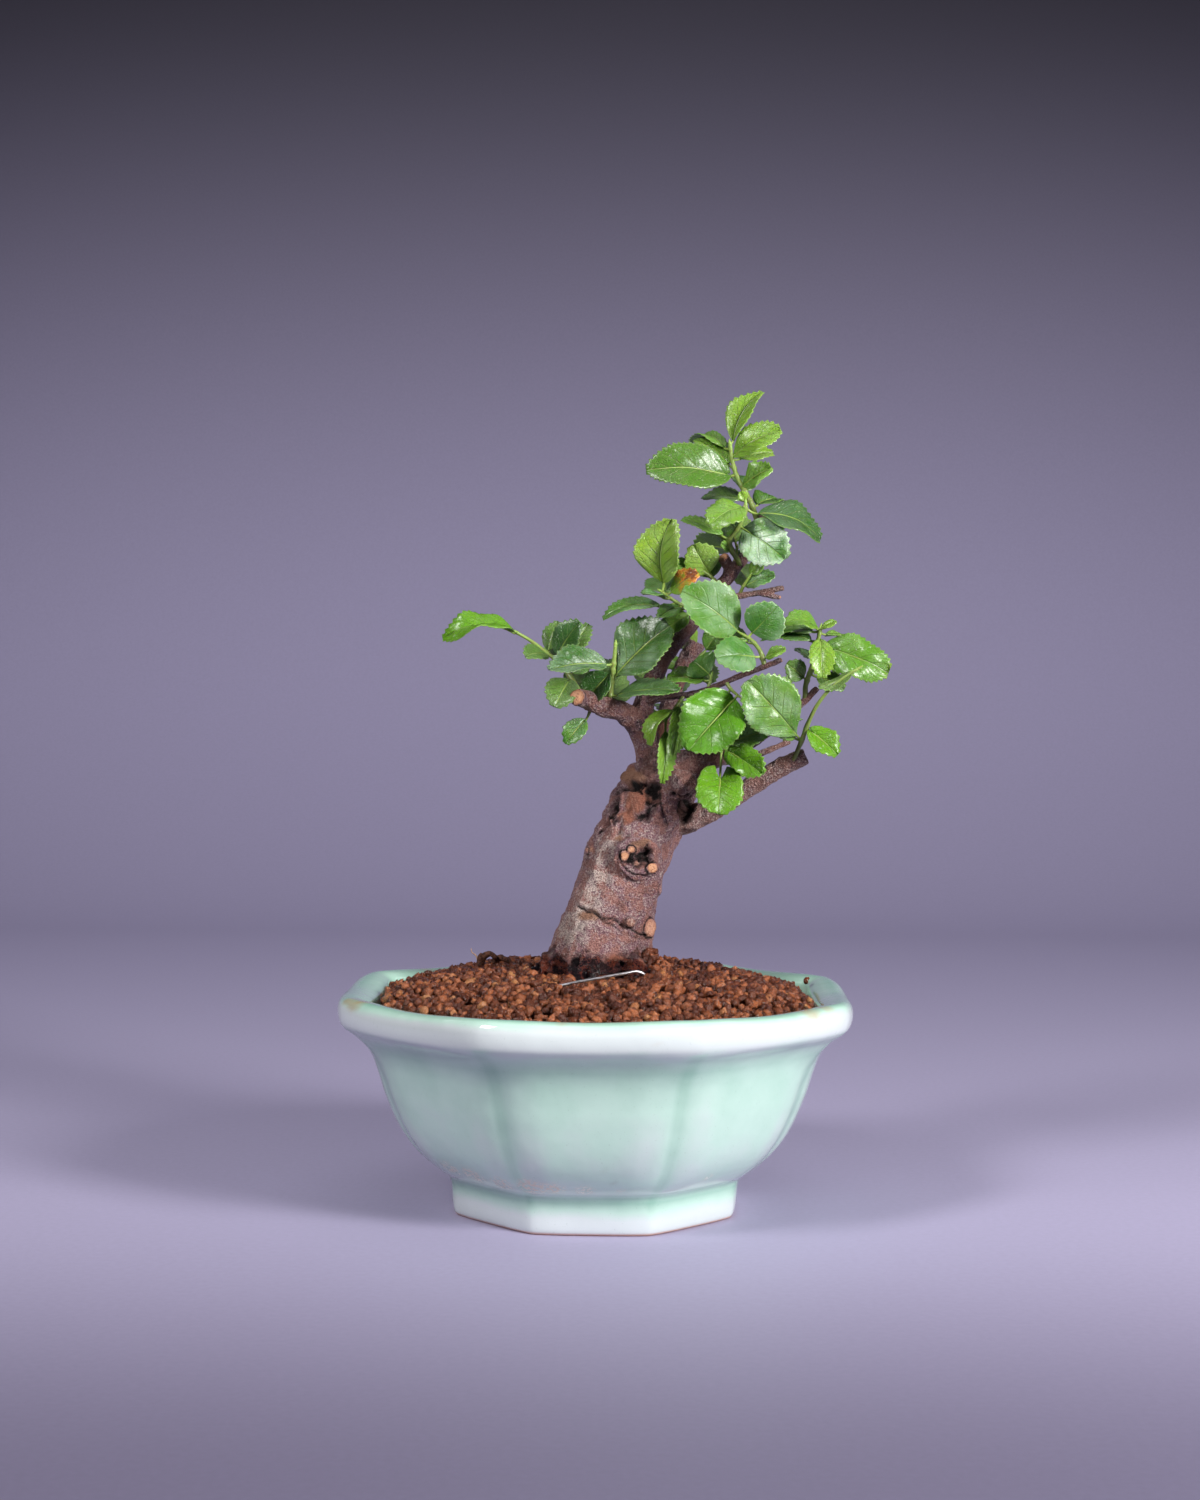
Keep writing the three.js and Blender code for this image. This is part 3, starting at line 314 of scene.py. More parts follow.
# Angle from the front in degrees, height, reach in millimetres and strength of tan stains, crust and pinholes
STAINS = [
    (-62, 65.4, 4.0, 0.7), (-66, 65.8, 2.6, 0.6), (55, 65.6, 4.2, 0.6), (61, 65.9, 2.4, 0.5),
    (14, 60.8, 1.0, 0.4), (16, 55, 1.2, 0.45), (-6, 66.2, 1.4, 0.3), (150, 65.2, 5, 0.5),
    (-128, 65.6, 3, 0.4),
]
CRUSTS = [
    (-52, 17, 5, 1), (-42, 16.4, 6, 1), (-30, 15.6, 5, 0.9), (-19, 15.6, 6, 1.2), (-12, 15.6, 4.4, 1),
    (-2, 15, 4, 0.6), (10, 14.7, 2.2, 0.3), (40, 17, 2.4, 0.5), (170, 15.2, 6, 0.6), (120, 15, 4, 0.5),
]
PINHOLES = [
    (4.5, 22.2, 0.5), (32.5, 52.4, 0.3), (39, 53, 0.3), (-58, 40, 0.3), (75, 30, 0.4),
    (130, 46, 0.4), (178, 28, 0.45), (-110, 36, 0.4), (-150, 50, 0.35), (7, 18, 0.35),
]


def pot_radius(angle, half_width, flute):
    """Distance from the axis of the eight-sided plan, with bulging panels and a flute at each corner."""
    offset = angle - PANEL * np.round(angle / PANEL)
    share = np.abs(offset) / (PANEL / 2)
    from_corner = PANEL / 2 - np.abs(offset)
    narrow = 0.5 + 0.5 * np.cos(math.pi * np.clip(from_corner / FLUTE_HALF_ANGLE, 0, 1))
    wide = 0.5 + 0.5 * np.cos(math.pi * np.clip(from_corner / SHOULDER_HALF_ANGLE, 0, 1))
    hollow = SHOULDER_SHARE * wide + (1 - SHOULDER_SHARE) * narrow
    bulge = PANEL_BULGE * flute * (1 - share ** 2)
    return half_width / np.cos(offset) + bulge - FLUTE_DEPTH * flute * hollow


def inside_half_width(x, y):
    """Half width of the turned plan on which a point lies."""
    angle = np.arctan2(x, -y) + POT_TURN
    offset = angle - PANEL * np.round(angle / PANEL)
    return np.hypot(x, y) * np.cos(offset)


def near_spots(spots, degrees, height, radius):
    """How strongly each point is covered by soft round spots."""
    cover = np.zeros(len(degrees))
    for angle, level, reach, strength in spots:
        turn = np.radians((degrees - angle + 180) % 360 - 180)
        away = np.hypot(turn * radius, (height - level) * 1.6)
        cover = np.maximum(cover, strength * (1 - smooth(0.3 * reach, reach, away)))
    return cover


def pot_mesh(half_rim):
    """The pot's vertices and faces, and the amounts that its glaze reads."""
    rows = []
    for i, (low, high) in enumerate(zip(POT_ROWS, POT_ROWS[1:])):
        long_step = math.hypot(high[0] - low[0], high[1] - low[1]) > LONG_STEP
        rows.append(low)
        if long_step and i < LAST_SPLIT_ROW:
            rows.append(tuple((a + b) / 2 for a, b in zip(low, high)))
    rows.append(POT_ROWS[-1])
    rows = np.array(rows)
    scale = half_rim / LIP_HALF_WIDTH
    count = 8 * STEPS_PER_PANEL
    angle = (np.arange(count) + 0.5) * 2 * math.pi / count
    grid_angle, half_width = np.meshgrid(angle, rows[:, 0] * scale)
    flute = np.repeat(rows[:, 2:3], count, axis=1)
    height = np.repeat(rows[:, 1:2], count, axis=1)
    radius = pot_radius(grid_angle, half_width, flute)
    hole = (np.abs(rows[:, 0] - ROUND_HOLE) < 0.01)[:, None]
    radius = np.where(hole, half_width, radius)
    # Hand finishing: the lip rises and sinks a little from corner to corner
    wobble = smooth(LIP_START, LIP_FULL, height) * (height < LIP_TOP)
    swing = LIP_SWING * np.sin(3 * grid_angle + 1.1)
    height = height + wobble * (swing - CORNER_SINK * np.cos(8 * grid_angle))
    turned = grid_angle + POT_TURN
    vertices = np.stack([radius * np.sin(turned), -radius * np.cos(turned), height], -1).reshape(-1, 3)
    faces = []
    total = len(rows)
    for i in range(total):
        k = (i + 1) % total
        for j in range(count):
            n = (j + 1) % count
            faces.append((i * count + j, i * count + n, k * count + n, k * count + j))
    offset = grid_angle - PANEL * np.round(grid_angle / PANEL)
    from_corner = (PANEL / 2 - np.abs(offset)) / FLUTE_HALF_ANGLE
    pooled = np.repeat(rows[:, 3:4], count, axis=1)
    in_flute = np.exp(-(from_corner / 0.42) ** 2) * np.minimum(1, flute * 1.5)
    # Painted highlight: lighter bands on the flute shoulders and a lighter lower body, taken off the glaze
    # pooling
    shoulder_highlight = np.exp(-((from_corner - 1.7) / 0.9) ** 2) * smooth(0.6, 1, flute) * (height < 52)
    painted_low_highlight = smooth(46, 20, height) * smooth(13, 17, height) * 0.06
    pooled = pooled + 0.19 * in_flute * smooth(2, 9, height) * (height < 58) - 0.08 * shoulder_highlight - painted_low_highlight
    degrees = np.degrees(grid_angle).ravel()
    level, reach = height.ravel(), radius.ravel()
    values = {
        "glaze_pool_and_highlight": np.clip(pooled, 0, 1.2).ravel(),
        "glaze_bare": (1 - smooth(0.2, 1.0, level)) * (reach > 36),
        "glaze_stain": near_spots(STAINS, degrees, level, reach) * (0.4 + layered(vertices, 2.2, 5)),
        "glaze_crust": near_spots(CRUSTS, degrees, level, reach),
        "glaze_pinhole": near_spots([(a, h, r * 1.3, 1) for a, h, r in PINHOLES], degrees, level, reach),
    }
    return vertices, faces, values


def celadon(look):
    """Celadon glaze on porcelain, poured and fired: white where it ran thin, sea green where it pooled."""
    made, tree, shader = material("fired_celadon_glaze", roughness=0.09, ior=1.52, coat_weight=0.4,
                                  coat_roughness=0.03)
    place = add(tree, "TexCoord", out="Object")
    # Glaze pooling, lessened by painted highlight beside the flutes and low on the body
    pool_and_highlight = add(tree, "Attribute", attribute_name="glaze_pool_and_highlight", out="Fac")
    # Clouding 14 mm across is how unevenly a poured glaze thickens
    cloud = add(tree, "TexNoise", {"Vector": place, "Scale": 70, "Detail": 3})
    drift = remap(tree, cloud, 0.3, 0.7, -0.07, 0.07)
    depth = calc(tree, "ADD", pool_and_highlight, drift)
    thin, body, pooled = look.thin_colour[:], look.body_colour[:], look.pooled_colour[:]
    colour = add(tree, "ValToRGB", {"Fac": depth},
                 stops=[(0, thin), (0.2, thin), (0.46, body), (1.0, pooled)])
    # Fine freckles of 0.6 mm where the glaze crawled
    freckle = add(tree, "TexNoise", {"Vector": place, "Scale": 1600, "Detail": 2})
    speck = remap(tree, freckle, 0.66, 0.74, 0, 0.16)
    colour = mix(tree, speck, colour, linear("5f7c6c"))
    bare = add(tree, "Attribute", attribute_name="glaze_bare", out="Fac")
    colour = mix(tree, bare, colour, look.foot_colour)
    stain = add(tree, "Attribute", attribute_name="glaze_stain", out="Fac")
    colour = mix(tree, stain, colour, linear("b58a5a"))
    crust = add(tree, "Attribute", attribute_name="glaze_crust", out="Fac")
    # Dried crust with grit 1.1 mm across
    grit = add(tree, "TexNoise", {"Vector": place, "Scale": 900, "Detail": 4, "Roughness": 0.7})
    grit_mask = remap(tree, grit, 0.44, 0.56)
    dry = calc(tree, "MULTIPLY", crust, grit_mask)
    colour = mix(tree, dry, colour, linear("ddd2bd"))
    hole = add(tree, "Attribute", attribute_name="glaze_pinhole", out="Fac")
    colour = mix(tree, hole, colour, linear("7a5a3c"))
    tree.links.new(colour, shader.inputs["Base Color"])
    dull = calc(tree, "MAXIMUM", dry, bare)
    rough = remap(tree, dull, 0, 1, 0.07, 0.62)
    tree.links.new(rough, shader.inputs["Roughness"])
    # Low orange peel of the glaze, 5 mm across, and the crust's own grit
    peel = add(tree, "TexNoise", {"Vector": place, "Scale": 190, "Detail": 1})
    lumps = calc(tree, "MULTIPLY", dry, 0.6)
    height = calc(tree, "ADD", peel, lumps)
    bump = add(tree, "Bump", {"Height": height, "Strength": 0.06, "Distance": 0.002})
    tree.links.new(bump, shader.inputs["Normal"])
    return made


# Clay granules

SOIL_EDGE_HEIGHT = 64.1
SOIL_MOUND = 7
SOIL_SLOPE = 0.03
SOIL_REACH = 66
SOIL_INNER_HALF_WIDTH = 65.4
TRUNK_FOOT = (-0.4, 0.0)
TRUNK_FOOT_RADIUS = 15.4
SOIL_SEED = 11
# Share of a granule's width between two of them, and how deep they sit, in the upper and the lower layer
UPPER_PITCH, UPPER_SINK = 0.98, 0.5
LOWER_PITCH, LOWER_SINK = 0.95, 2.6
GRID_REACH = 70
GRID_SHAKE = 0.32
GAP_SHARE = 0.06
ROLL_HEIGHT = 2.4
ROLL_WIDTH = 11
HEAP_VOLUME, HEAP_CROWDING = 2.2, 3.2
LUMP = 0.22
LUMP_LOW, LUMP_HIGH = 0.58, 1.45
STRETCH_LOW, STRETCH_HIGH = 0.78, 1.2
PLUG_SINK = 2.4
PLUG_BOTTOM = 16.4
# Centre across and back, height and reach of each heap
SOIL_HEAPS = [
    (17, -8, 11, 6.4), (18.4, -15.4, 5.6, 3.4), (14.8, -20, 4.6, 2.8), (17.2, -18.4, 6, 3.2),
    (-9, -18.4, 2, 5), (3, -18.4, 2, 5), (-20, -4, 3, 5),
]


def soil_height(x, y):
    """Height of the heaped soil at a place."""
    reach = np.minimum(1, np.hypot(x, y) / SOIL_REACH)
    return SOIL_EDGE_HEIGHT + (SOIL_MOUND + SOIL_SLOPE * y) * (1 - reach ** 4)


def icosphere(levels):
    """A unit ball of even triangles."""
    gold = (1 + math.sqrt(5)) / 2
    vertices = [(-1, gold, 0), (1, gold, 0), (-1, -gold, 0), (1, -gold, 0), (0, -1, gold), (0, 1, gold),
                (0, -1, -gold), (0, 1, -gold), (gold, 0, -1), (gold, 0, 1), (-gold, 0, -1), (-gold, 0, 1)]
    faces = [(0, 11, 5), (0, 5, 1), (0, 1, 7), (0, 7, 10), (0, 10, 11), (1, 5, 9), (5, 11, 4), (11, 10, 2),
             (10, 7, 6), (7, 1, 8), (3, 9, 4), (3, 4, 2), (3, 2, 6), (3, 6, 8), (3, 8, 9), (4, 9, 5),
             (2, 4, 11), (6, 2, 10), (8, 6, 7), (9, 8, 1)]
    vertices = [tuple(unit(v)) for v in vertices]
    for _ in range(levels):
        middle, finer = {}, []

        def between(a, b):
            key = (min(a, b), max(a, b))
            if key not in middle:
                middle[key] = len(vertices)
                vertices.append(tuple(unit(np.add(vertices[a], vertices[b]))))
            return middle[key]

        for a, b, c in faces:
            ab, bc, ca = between(a, b), between(b, c), between(c, a)
            finer += [(a, ab, ca), (b, bc, ab), (c, ca, bc), (ab, bc, ca)]
        faces = finer
    return np.array(vertices), np.array(faces)


def granules(centres, sizes, random, fineness=1):
    """Rough lumps of baked clay at the given places, with a tone for each."""
    ball, ball_faces = icosphere(fineness)
    count = len(centres)
    lump = 1 + LUMP * random.standard_normal((count, len(ball)))
    lump = np.clip(lump, LUMP_LOW, LUMP_HIGH)
    stretch = random.uniform(STRETCH_LOW, STRETCH_HIGH, (count, 1, 3))
    turn = unit(random.standard_normal((count, 4)))
    w, x, y, z = turn.T
    spin = np.stack([
        1 - 2 * (y * y + z * z), 2 * (x * y - z * w), 2 * (x * z + y * w),
        2 * (x * y + z * w), 1 - 2 * (x * x + z * z), 2 * (y * z - x * w),
        2 * (x * z - y * w), 2 * (y * z + x * w), 1 - 2 * (x * x + y * y)], -1).reshape(-1, 3, 3)
    shape = ball[None] * lump[..., None] * stretch
    shape = np.einsum("nij,nkj->nki", spin, shape) * sizes[:, None, None]
    vertices = (shape + centres[:, None]).reshape(-1, 3)
    faces = (ball_faces[None] + (np.arange(count) * len(ball))[:, None, None]).reshape(-1, 3)
    tone = np.repeat(random.uniform(0, 1, count), len(ball))
    return vertices, faces, tone


def spread_granules(pitch, size, random, sink):
    """One layer of granules over the heap, on a shaken triangular grid, clear of the trunk and the pot."""
    x, y = np.meshgrid(np.arange(-GRID_REACH, GRID_REACH, pitch),
                       np.arange(-GRID_REACH, GRID_REACH, pitch * 0.866))
    x = x + (np.arange(len(x)) % 2)[:, None] * pitch / 2
    x, y = x.ravel(), y.ravel()
    x = x + random.uniform(-GRID_SHAKE, GRID_SHAKE, len(x)) * pitch
    y = y + random.uniform(-GRID_SHAKE, GRID_SHAKE, len(y)) * pitch
    radius = size / 2 * random.uniform(0.74, 1.26, len(x))
    inside = inside_half_width(x, y) < SOIL_INNER_HALF_WIDTH - 1.2 * radius
    outside_trunk = np.hypot(x - TRUNK_FOOT[0], y - TRUNK_FOOT[1]) > TRUNK_FOOT_RADIUS
    clear = inside & outside_trunk & (random.uniform(0, 1, len(x)) > GAP_SHARE)
    x, y, radius = x[clear], y[clear], radius[clear]
    roll = layered(np.stack([x, y, 0 * x], -1), ROLL_WIDTH, 3) - 0.5
    z = soil_height(x, y) + ROLL_HEIGHT * roll - sink + random.uniform(-0.9, 0.7, len(x))
    # Granules that the wire presses on lie under it
    wire = np.array(WIRE_ROUTE)[WIRE_LYING]
    on_wire = line_distance(np.stack([x, y], -1), wire[:, :2]) < radius + 0.4
    z = np.where(on_wire, np.minimum(z, np.interp(x, wire[:, 0], wire[:, 2]) - radius - 0.3), z)
    return np.stack([x, y, z], -1), radius


def piled_granules(size, random):
    """Small heaps of granules against the foot of the trunk."""
    places = []
    for x, y, height, reach in SOIL_HEAPS:
        count = int(HEAP_VOLUME * reach * reach * height / size ** 3 * HEAP_CROWDING)
        spread = np.sqrt(random.uniform(0, 1, count)) * reach
        turn = random.uniform(0, 2 * math.pi, count)
        level = random.uniform(0.1, 1, count) * (1 - spread / reach) * height
        px, py = x + spread * np.cos(turn), y + spread * np.sin(turn)
        places.append(np.stack([px, py, soil_height(px, py) + level - 0.4], -1))
    places = np.concatenate(places)
    return places, size / 2 * random.uniform(0.74, 1.2, len(places))


def soil_plug():
    """The closed body of soil under the granules."""
    rows = [(0, PLUG_BOTTOM), (34, PLUG_BOTTOM), (50.4, 28.4), (60.4, 52), (63.2, 60.6)]
    rows += [(w, None) for w in (62.4, 58, 52, 45, 38, 31, 24, 18, 12, 6)]
    count = 8 * 12
    angle = (np.arange(count) + 0.5) * 2 * math.pi / count
    vertices, faces = [(0, 0, PLUG_BOTTOM)], []
    for half_width, level in rows[1:]:
        radius = pot_radius(angle, half_width, 0)
        x, y = radius * np.sin(angle + POT_TURN), -radius * np.cos(angle + POT_TURN)
        z = soil_height(x, y) - PLUG_SINK if level is None else level + 0 * x
        vertices += list(zip(x, y, z))
    vertices.append((0, 0, soil_height(0.0, 0.0) - PLUG_SINK))
    last = len(vertices) - 1
    for j in range(count):
        k = (j + 1) % count
        faces.append((0, 1 + k, 1 + j))
        for i in range(len(rows) - 2):
            low, high = 1 + i * count, 1 + (i + 1) * count
            faces.append((low + j, low + k, high + k, high + j))
        top = 1 + (len(rows) - 2) * count
        faces.append((top + j, top + k, last))
    return np.array(vertices), faces


def clay(look):
    """Baked akadama clay, crushed and sieved, still moist: dull broken faces with small wet glints."""
    made, tree, shader = material("moist_baked_clay", roughness=0.6, ior=1.5)
    place = add(tree, "TexCoord", out="Object")
    tone = add(tree, "Attribute", attribute_name="clay_tone", out="Fac")
    dark, body, light = look.dark_colour[:], look.body_colour[:], look.light_colour[:]
    colour = add(tree, "ValToRGB", {"Fac": tone}, stops=[(0, dark), (0.45, body), (0.9, light),
                                                         (1.0, linear("ab754a"))])
    # Pores of 0.4 mm in each granule
    pores = add(tree, "TexNoise", {"Vector": place, "Scale": 2400, "Detail": 4, "Roughness": 0.65})
    shade = remap(tree, pores, 0.35, 0.65, 0.55, 1.25)
    colour = mix(tree, 1.0, colour, shade, blend_type="MULTIPLY")
    tree.links.new(colour, shader.inputs["Base Color"])
    # Wet faces 1.6 mm across
    water = add(tree, "TexNoise", {"Vector": place, "Scale": 620, "Detail": 2})
    gloss = remap(tree, water, 0.42, 0.6, 0.08, 0.44)
    tree.links.new(gloss, shader.inputs["Roughness"])
    bump = add(tree, "Bump", {"Height": pores, "Strength": 0.8, "Distance": 0.0007})
    tree.links.new(bump, shader.inputs["Normal"])
    return made


# Tie wire

WIRE_ROUTE = [
    (-15, -26.5, 60), (-14.9, -26, 64.8), (-14, -25.2, 69), (-8, -23.8, 70.7), (0, -22.3, 72.1),
    (8, -20.6, 73.4), (12.2, -19.4, 73.9), (14.4, -18.6, 72.8), (15.8, -18, 69.6), (16.3, -17.7, 65),
    (16.5, -17.6, 60),
]
WIRE_SIDES, WIRE_STEPS = 16, 140
# The points between which it lies on the soil
WIRE_LYING = slice(2, 7)


def drawn_aluminium(look):
    """Aluminium wire, drawn and slightly oxidised: bright along its length, with fine die lines."""
    made, tree, shader = material("drawn_aluminium", roughness=0.3, metallic=1.0)
    place = add(tree, "TexCoord", out="Object")
    # Die lines 0.25 mm apart and 3.3 mm long, drawn coarser so that they show
    stretch = add(tree, "Mapping", {"Vector": place, "Scale": (300, 4000, 4000)})
    lines = add(tree, "TexNoise", {"Vector": stretch, "Scale": 1, "Detail": 2})
    low, high = linear("8f8d8b"), look.colour[:]
    colour = add(tree, "ValToRGB", {"Fac": lines}, stops=[(0.3, low), (0.6, high)])
    tree.links.new(colour, shader.inputs["Base Color"])
    gloss = remap(tree, lines, 0, 1, 0.2, 0.46)
    tree.links.new(gloss, shader.inputs["Roughness"])
    bump = add(tree, "Bump", {"Height": lines, "Strength": 0.15, "Distance": 0.0002})
    tree.links.new(bump, shader.inputs["Normal"])
    return made


# Drainage screen

def polyethylene(look):
    """Polyethylene screen, injection moulded: faintly waxy black with a fine matte grain."""
    made, tree, shader = material("moulded_polyethylene", roughness=0.5, ior=1.51)
    place = add(tree, "TexCoord", out="Object")
    # Mould grain of 0.25 mm
    grain = add(tree, "TexNoise", {"Vector": place, "Scale": 4000, "Detail": 2})
    colour = add(tree, "ValToRGB", {"Fac": grain}, stops=[(0.3, look.colour[:]), (0.8, linear("33383a"))])
    tree.links.new(colour, shader.inputs["Base Color"])
    bump = add(tree, "Bump", {"Height": grain, "Strength": 0.2, "Distance": 0.0002})
    tree.links.new(bump, shader.inputs["Normal"])
    return made


# Tree wood

TRUNK_POINTS = [
    (-1, 0, 54), (-1, 0, 62), (-0.4, 0, 70), (0.6, 0, 76), (2, 0, 82), (4, 0.3, 89), (6.4, 0.7, 97),
    (9.2, 1.2, 106), (13.2, 1.6, 115), (17, 2, 123), (20.2, 2, 130), (22.6, 2, 136),
]
TRUNK_RADII = [10.5, 14.5, 16.2, 15.3, 14.5, 13.5, 12.7, 12.5, 12.1, 12, 11, 7]
ROOT_FLARE = 0.16
FLARE_SHARE = 0.32
BARK_SWELL = 0.06
BARK_RIPPLE = 0.04

# Name, points, radii, how dark its bark is, how pink it is, and how pale its cut end is
LIMBS = [
    ("left stem", [(17.4, -1, 122), (16.2, -3, 135), (13.4, -5, 145.5), (7, -8, 151), (0.4, -10.5, 153.2),
                   (-4.8, -13.2, 155), (-6.4, -16.6, 155.6)], [7, 4.7, 3.8, 3.2, 2.9, 2.7, 2.5], 0.3, 0.4, 1),
    ("leader", [(12, -5, 145), (14.5, -5, 156), (20, -4, 167.5), (27.5, -3, 177), (36.5, -2, 189),
                (43.8, -2, 198), (47.4, -2, 205), (49.8, -2, 211.8)],
     [3.8, 3, 2.5, 2.2, 2, 1.7, 1.5, 1.4], 0.5, 0.25, 0.1),
    ("front twig", [(12.5, -5.5, 153.4), (18.7, -9, 155.6), (25, -12, 156.2), (31, -14.2, 157.4),
                    (43, -17, 162.5),
                    (54.5, -19, 167)], [1.7, 1.2, 1, 0.95, 0.9, 0.85], 0.85, 0.1, 0.7),
    ("leader stub", [(40.2, -2, 193), (39, -4, 195.8), (37.4, -6.4, 198.2)], [2, 1.7, 1.6], 0.45, 0.2, 1),
    ("leader side twig", [(34.5, -2.5, 185.6), (41.6, -5, 186.4), (49, -7.2, 187.6), (55.7, -9, 188.9)],
     [1.4, 1, 0.9, 0.85], 0.2, 0.9, 0.1),
    ("leader side twig fork", [(48, -7, 187.4), (51.5, -8.6, 186.4), (54.6, -9.8, 186)], [0.8, 0.75, 0.75],
     0.35, 0.5, 1),
    ("second stem", [(20.5, 4, 124), (20.2, 7.5, 136), (20.6, 9, 148), (24, 10, 160), (27.4, 10, 168),
                     (30, 9.6, 172.8)], [5, 3.4, 2.7, 2.5, 2.4, 2.8], 0.4, 0.4, 0.1),
    ("front stub", [(23, -4, 128.6), (24.8, -9, 129.2), (26.2, -13, 129.6), (26.8, -15, 129.7)],
     [5.2, 4.6, 4.1, 2.6], 0.2, 0.5, 0.1),
    ("right branch", [(21, 1, 131), (31, -2, 135.8), (44.7, -5, 141.5), (54, -7, 147.4), (62, -8, 154.6),
                      (66.2, -8.2, 158.8)], [8.4, 4.6, 2.1, 1.3, 1.05, 0.95], 0.4, 0.45, 1),
    ("right branch fork", [(34, -2.4, 136.6), (41.6, -0.5, 136.4), (50, 1.6, 138.8), (59, 3, 142.4)],
     [1.6, 1.1, 0.95, 0.9], 0.2, 0.7, 0.4),
    ("right branch scar", [(32.5, -2.5, 136), (33.4, -5, 136.8), (33.9, -6.8, 137.2)],
     [3.9, 3.5, 2.4], 0.5, 0.3, 0.1),
    ("lower branch", [(17, 1, 119), (25.5, -1, 118.8), (32, -3, 120.2), (44.7, -6, 128), (56, -9, 135),
                      (62.6, -10.4, 138.2)], [7, 4.8, 3.6, 3, 2.8, 2.4], 0.1, 0.75, 0),
    ("scar boss", [(11.4, -5, 107), (12.2, -11, 107.4), (12.5, -12.8, 107.5)], [7.8, 7, 5.4], 0.2, 0.2, 0),
    ("scar peg one", [(8.2, -8, 107.9), (8.2, -13.4, 108)], [1.8, 1.5], 0.4, 0.2, 1),
    ("scar peg two", [(9.8, -8, 109.4), (10.2, -13.5, 109.8)], [1.5, 1.15], 0.4, 0.2, 0.9),
    ("scar peg three", [(12, -8, 105.7), (12, -13.3, 105.7)], [1.3, 1], 0.4, 0.2, 0.35),
    ("scar peg four", [(15.4, -8, 104.2), (16.6, -13.3, 104.4)], [2.2, 1.8], 0.4, 0.2, 1),
    ("small knot", [(9.8, -9.6, 87.9), (10.2, -13.9, 88)], [2.3, 1.5], 0.2, 0.5, 0.3),
    ("oval scar", [(11.5, -2.4, 85.4), (15, -5.2, 85.6), (16.4, -6.3, 85.6)], [4.6, 3.8, 2.9], 0.2, 0.3, 0.7),
    ("right swelling", [(15, -3, 97), (18.2, -4.4, 97.2), (19.4, -4.8, 97.2)],
     [3.2, 2.4, 1.4], 0.2, 0.2, 0.3),
    ("left bead", [(-1, -3, 108.6), (-3.6, -4, 108.8)], [2, 1], 0.1, 0.2, 0.4),
    ("left root", [(-7, -4, 80), (-12.4, -5, 75), (-17, -6, 71.4), (-20, -7, 65)],
     [5, 4.2, 3.2, 2.4], 0.9, 0, 0),
    ("front root", [(-3, -9, 77), (-5, -13, 72.5), (-7, -16.5, 66)], [4.4, 4, 3], 0.9, 0, 0),
    ("right root", [(9, -8, 77), (12.4, -11.4, 72.5), (14.6, -14, 66)], [4.2, 3.6, 2.8], 0.9, 0, 0),
    ("back root", [(4, 9, 76), (6, 14, 72), (7, 19, 66)], [5, 4, 3], 0.9, 0, 0),
    ("back left root", [(-7, 8, 76), (-11, 12, 71), (-14, 15, 65)], [5, 4, 3], 0.9, 0, 0),
    ("back right root", [(8, 8, 75), (13, 12, 70.4), (16, 14, 65)], [4.4, 3.6, 2.8], 0.9, 0, 0),
]
VOXEL = 0.46

# Seen from the front: x, z, reach across and up, depth, and how dark the shade painted in it is. A positive
# depth is a hollow.
FRONT_DENTS = [
    (16.8, 124.8, 2.6, 5.6, 2.6, 0.8), (13.8, 119.2, 3.4, 1.5, 1.4, 0.6), (10.2, 123.4, 5.2, 6.2, 0.9, 0),
    (26.8, 121.4, 2.8, 5.2, 2.8, 0.8), (11.4, 128.8, 3, 1.1, 1.8, 0.9), (4.4, 121.4, 1.3, 4.2, 1.6, 0.7),
    (14.4, 109.2, 1.7, 1.6, 1.8, 1.0), (12.6, 107.8, 1.4, 1, 1.1, 0.8), (14.4, 106.3, 1.3, 1.1, 1.2, 0.9),
    (10.2, 106.2, 1.0, 1.0, 1.0, 0.8), (21.4, 140, 2, 5, 1.2, 0.7), (12.8, 106.9, 5, 3.4, 0.9, 0.5),
    (10.8, 131.2, 3.8, 2.4, -1.3, 0),
]
# Lines seen from the front: points, half width, depth and how dark the shade painted along them is
FRONT_LINES = [
    ([(-5.7, 92.4), (-1.2, 90.5), (2.5, 89.1), (6.3, 88), (10, 85.7), (13.8, 83.8), (16.1, 83.1)],
     0.3, 0.8, 0.75),
    ([(-5.2, 93.2), (-0.8, 91.4), (3, 90), (6.6, 89)], 0.5, -0.5, 0),
    ([(0.6, 89.4), (5, 86.6), (9.4, 83.8), (14, 82.6)], 0.34, 0.5, 0.5),
    ([(6.4, 109.2), (6.8, 106), (9, 103.4), (12.4, 101.8), (16.4, 101.6), (19, 103)], 0.34, 0.8, 0.5),
    ([(6.8, 110.6), (9, 112.3), (12.4, 112.8), (16, 111.9), (18.6, 109.2)], 0.8, -0.9, 0),
    ([(4.2, 125.6), (6.8, 128), (9.6, 128.6), (13, 127)], 0.5, 1.2, 0.9),
    ([(6.6, 131), (8.4, 133.4), (12.6, 135), (14.8, 132.6)], 1.0, -1.3, 0),
    ([(2.8, 117.6), (4.6, 121), (5.8, 125)], 0.5, 1.1, 0.9),
    ([(0.6, 114.6), (3.4, 117.4), (6, 118.4)], 0.4, 0.7, 0.7),
    ([(14.4, 129), (14.6, 124), (15.4, 118.6)], 0.9, 1.3, 0.9),
    ([(18.6, 129), (19.4, 123), (21.4, 117)], 0.6, 0.8, 0.6),
    ([(22.6, 126.4), (24.8, 125.6), (28, 126)], 0.6, 1.0, 0.9),
]
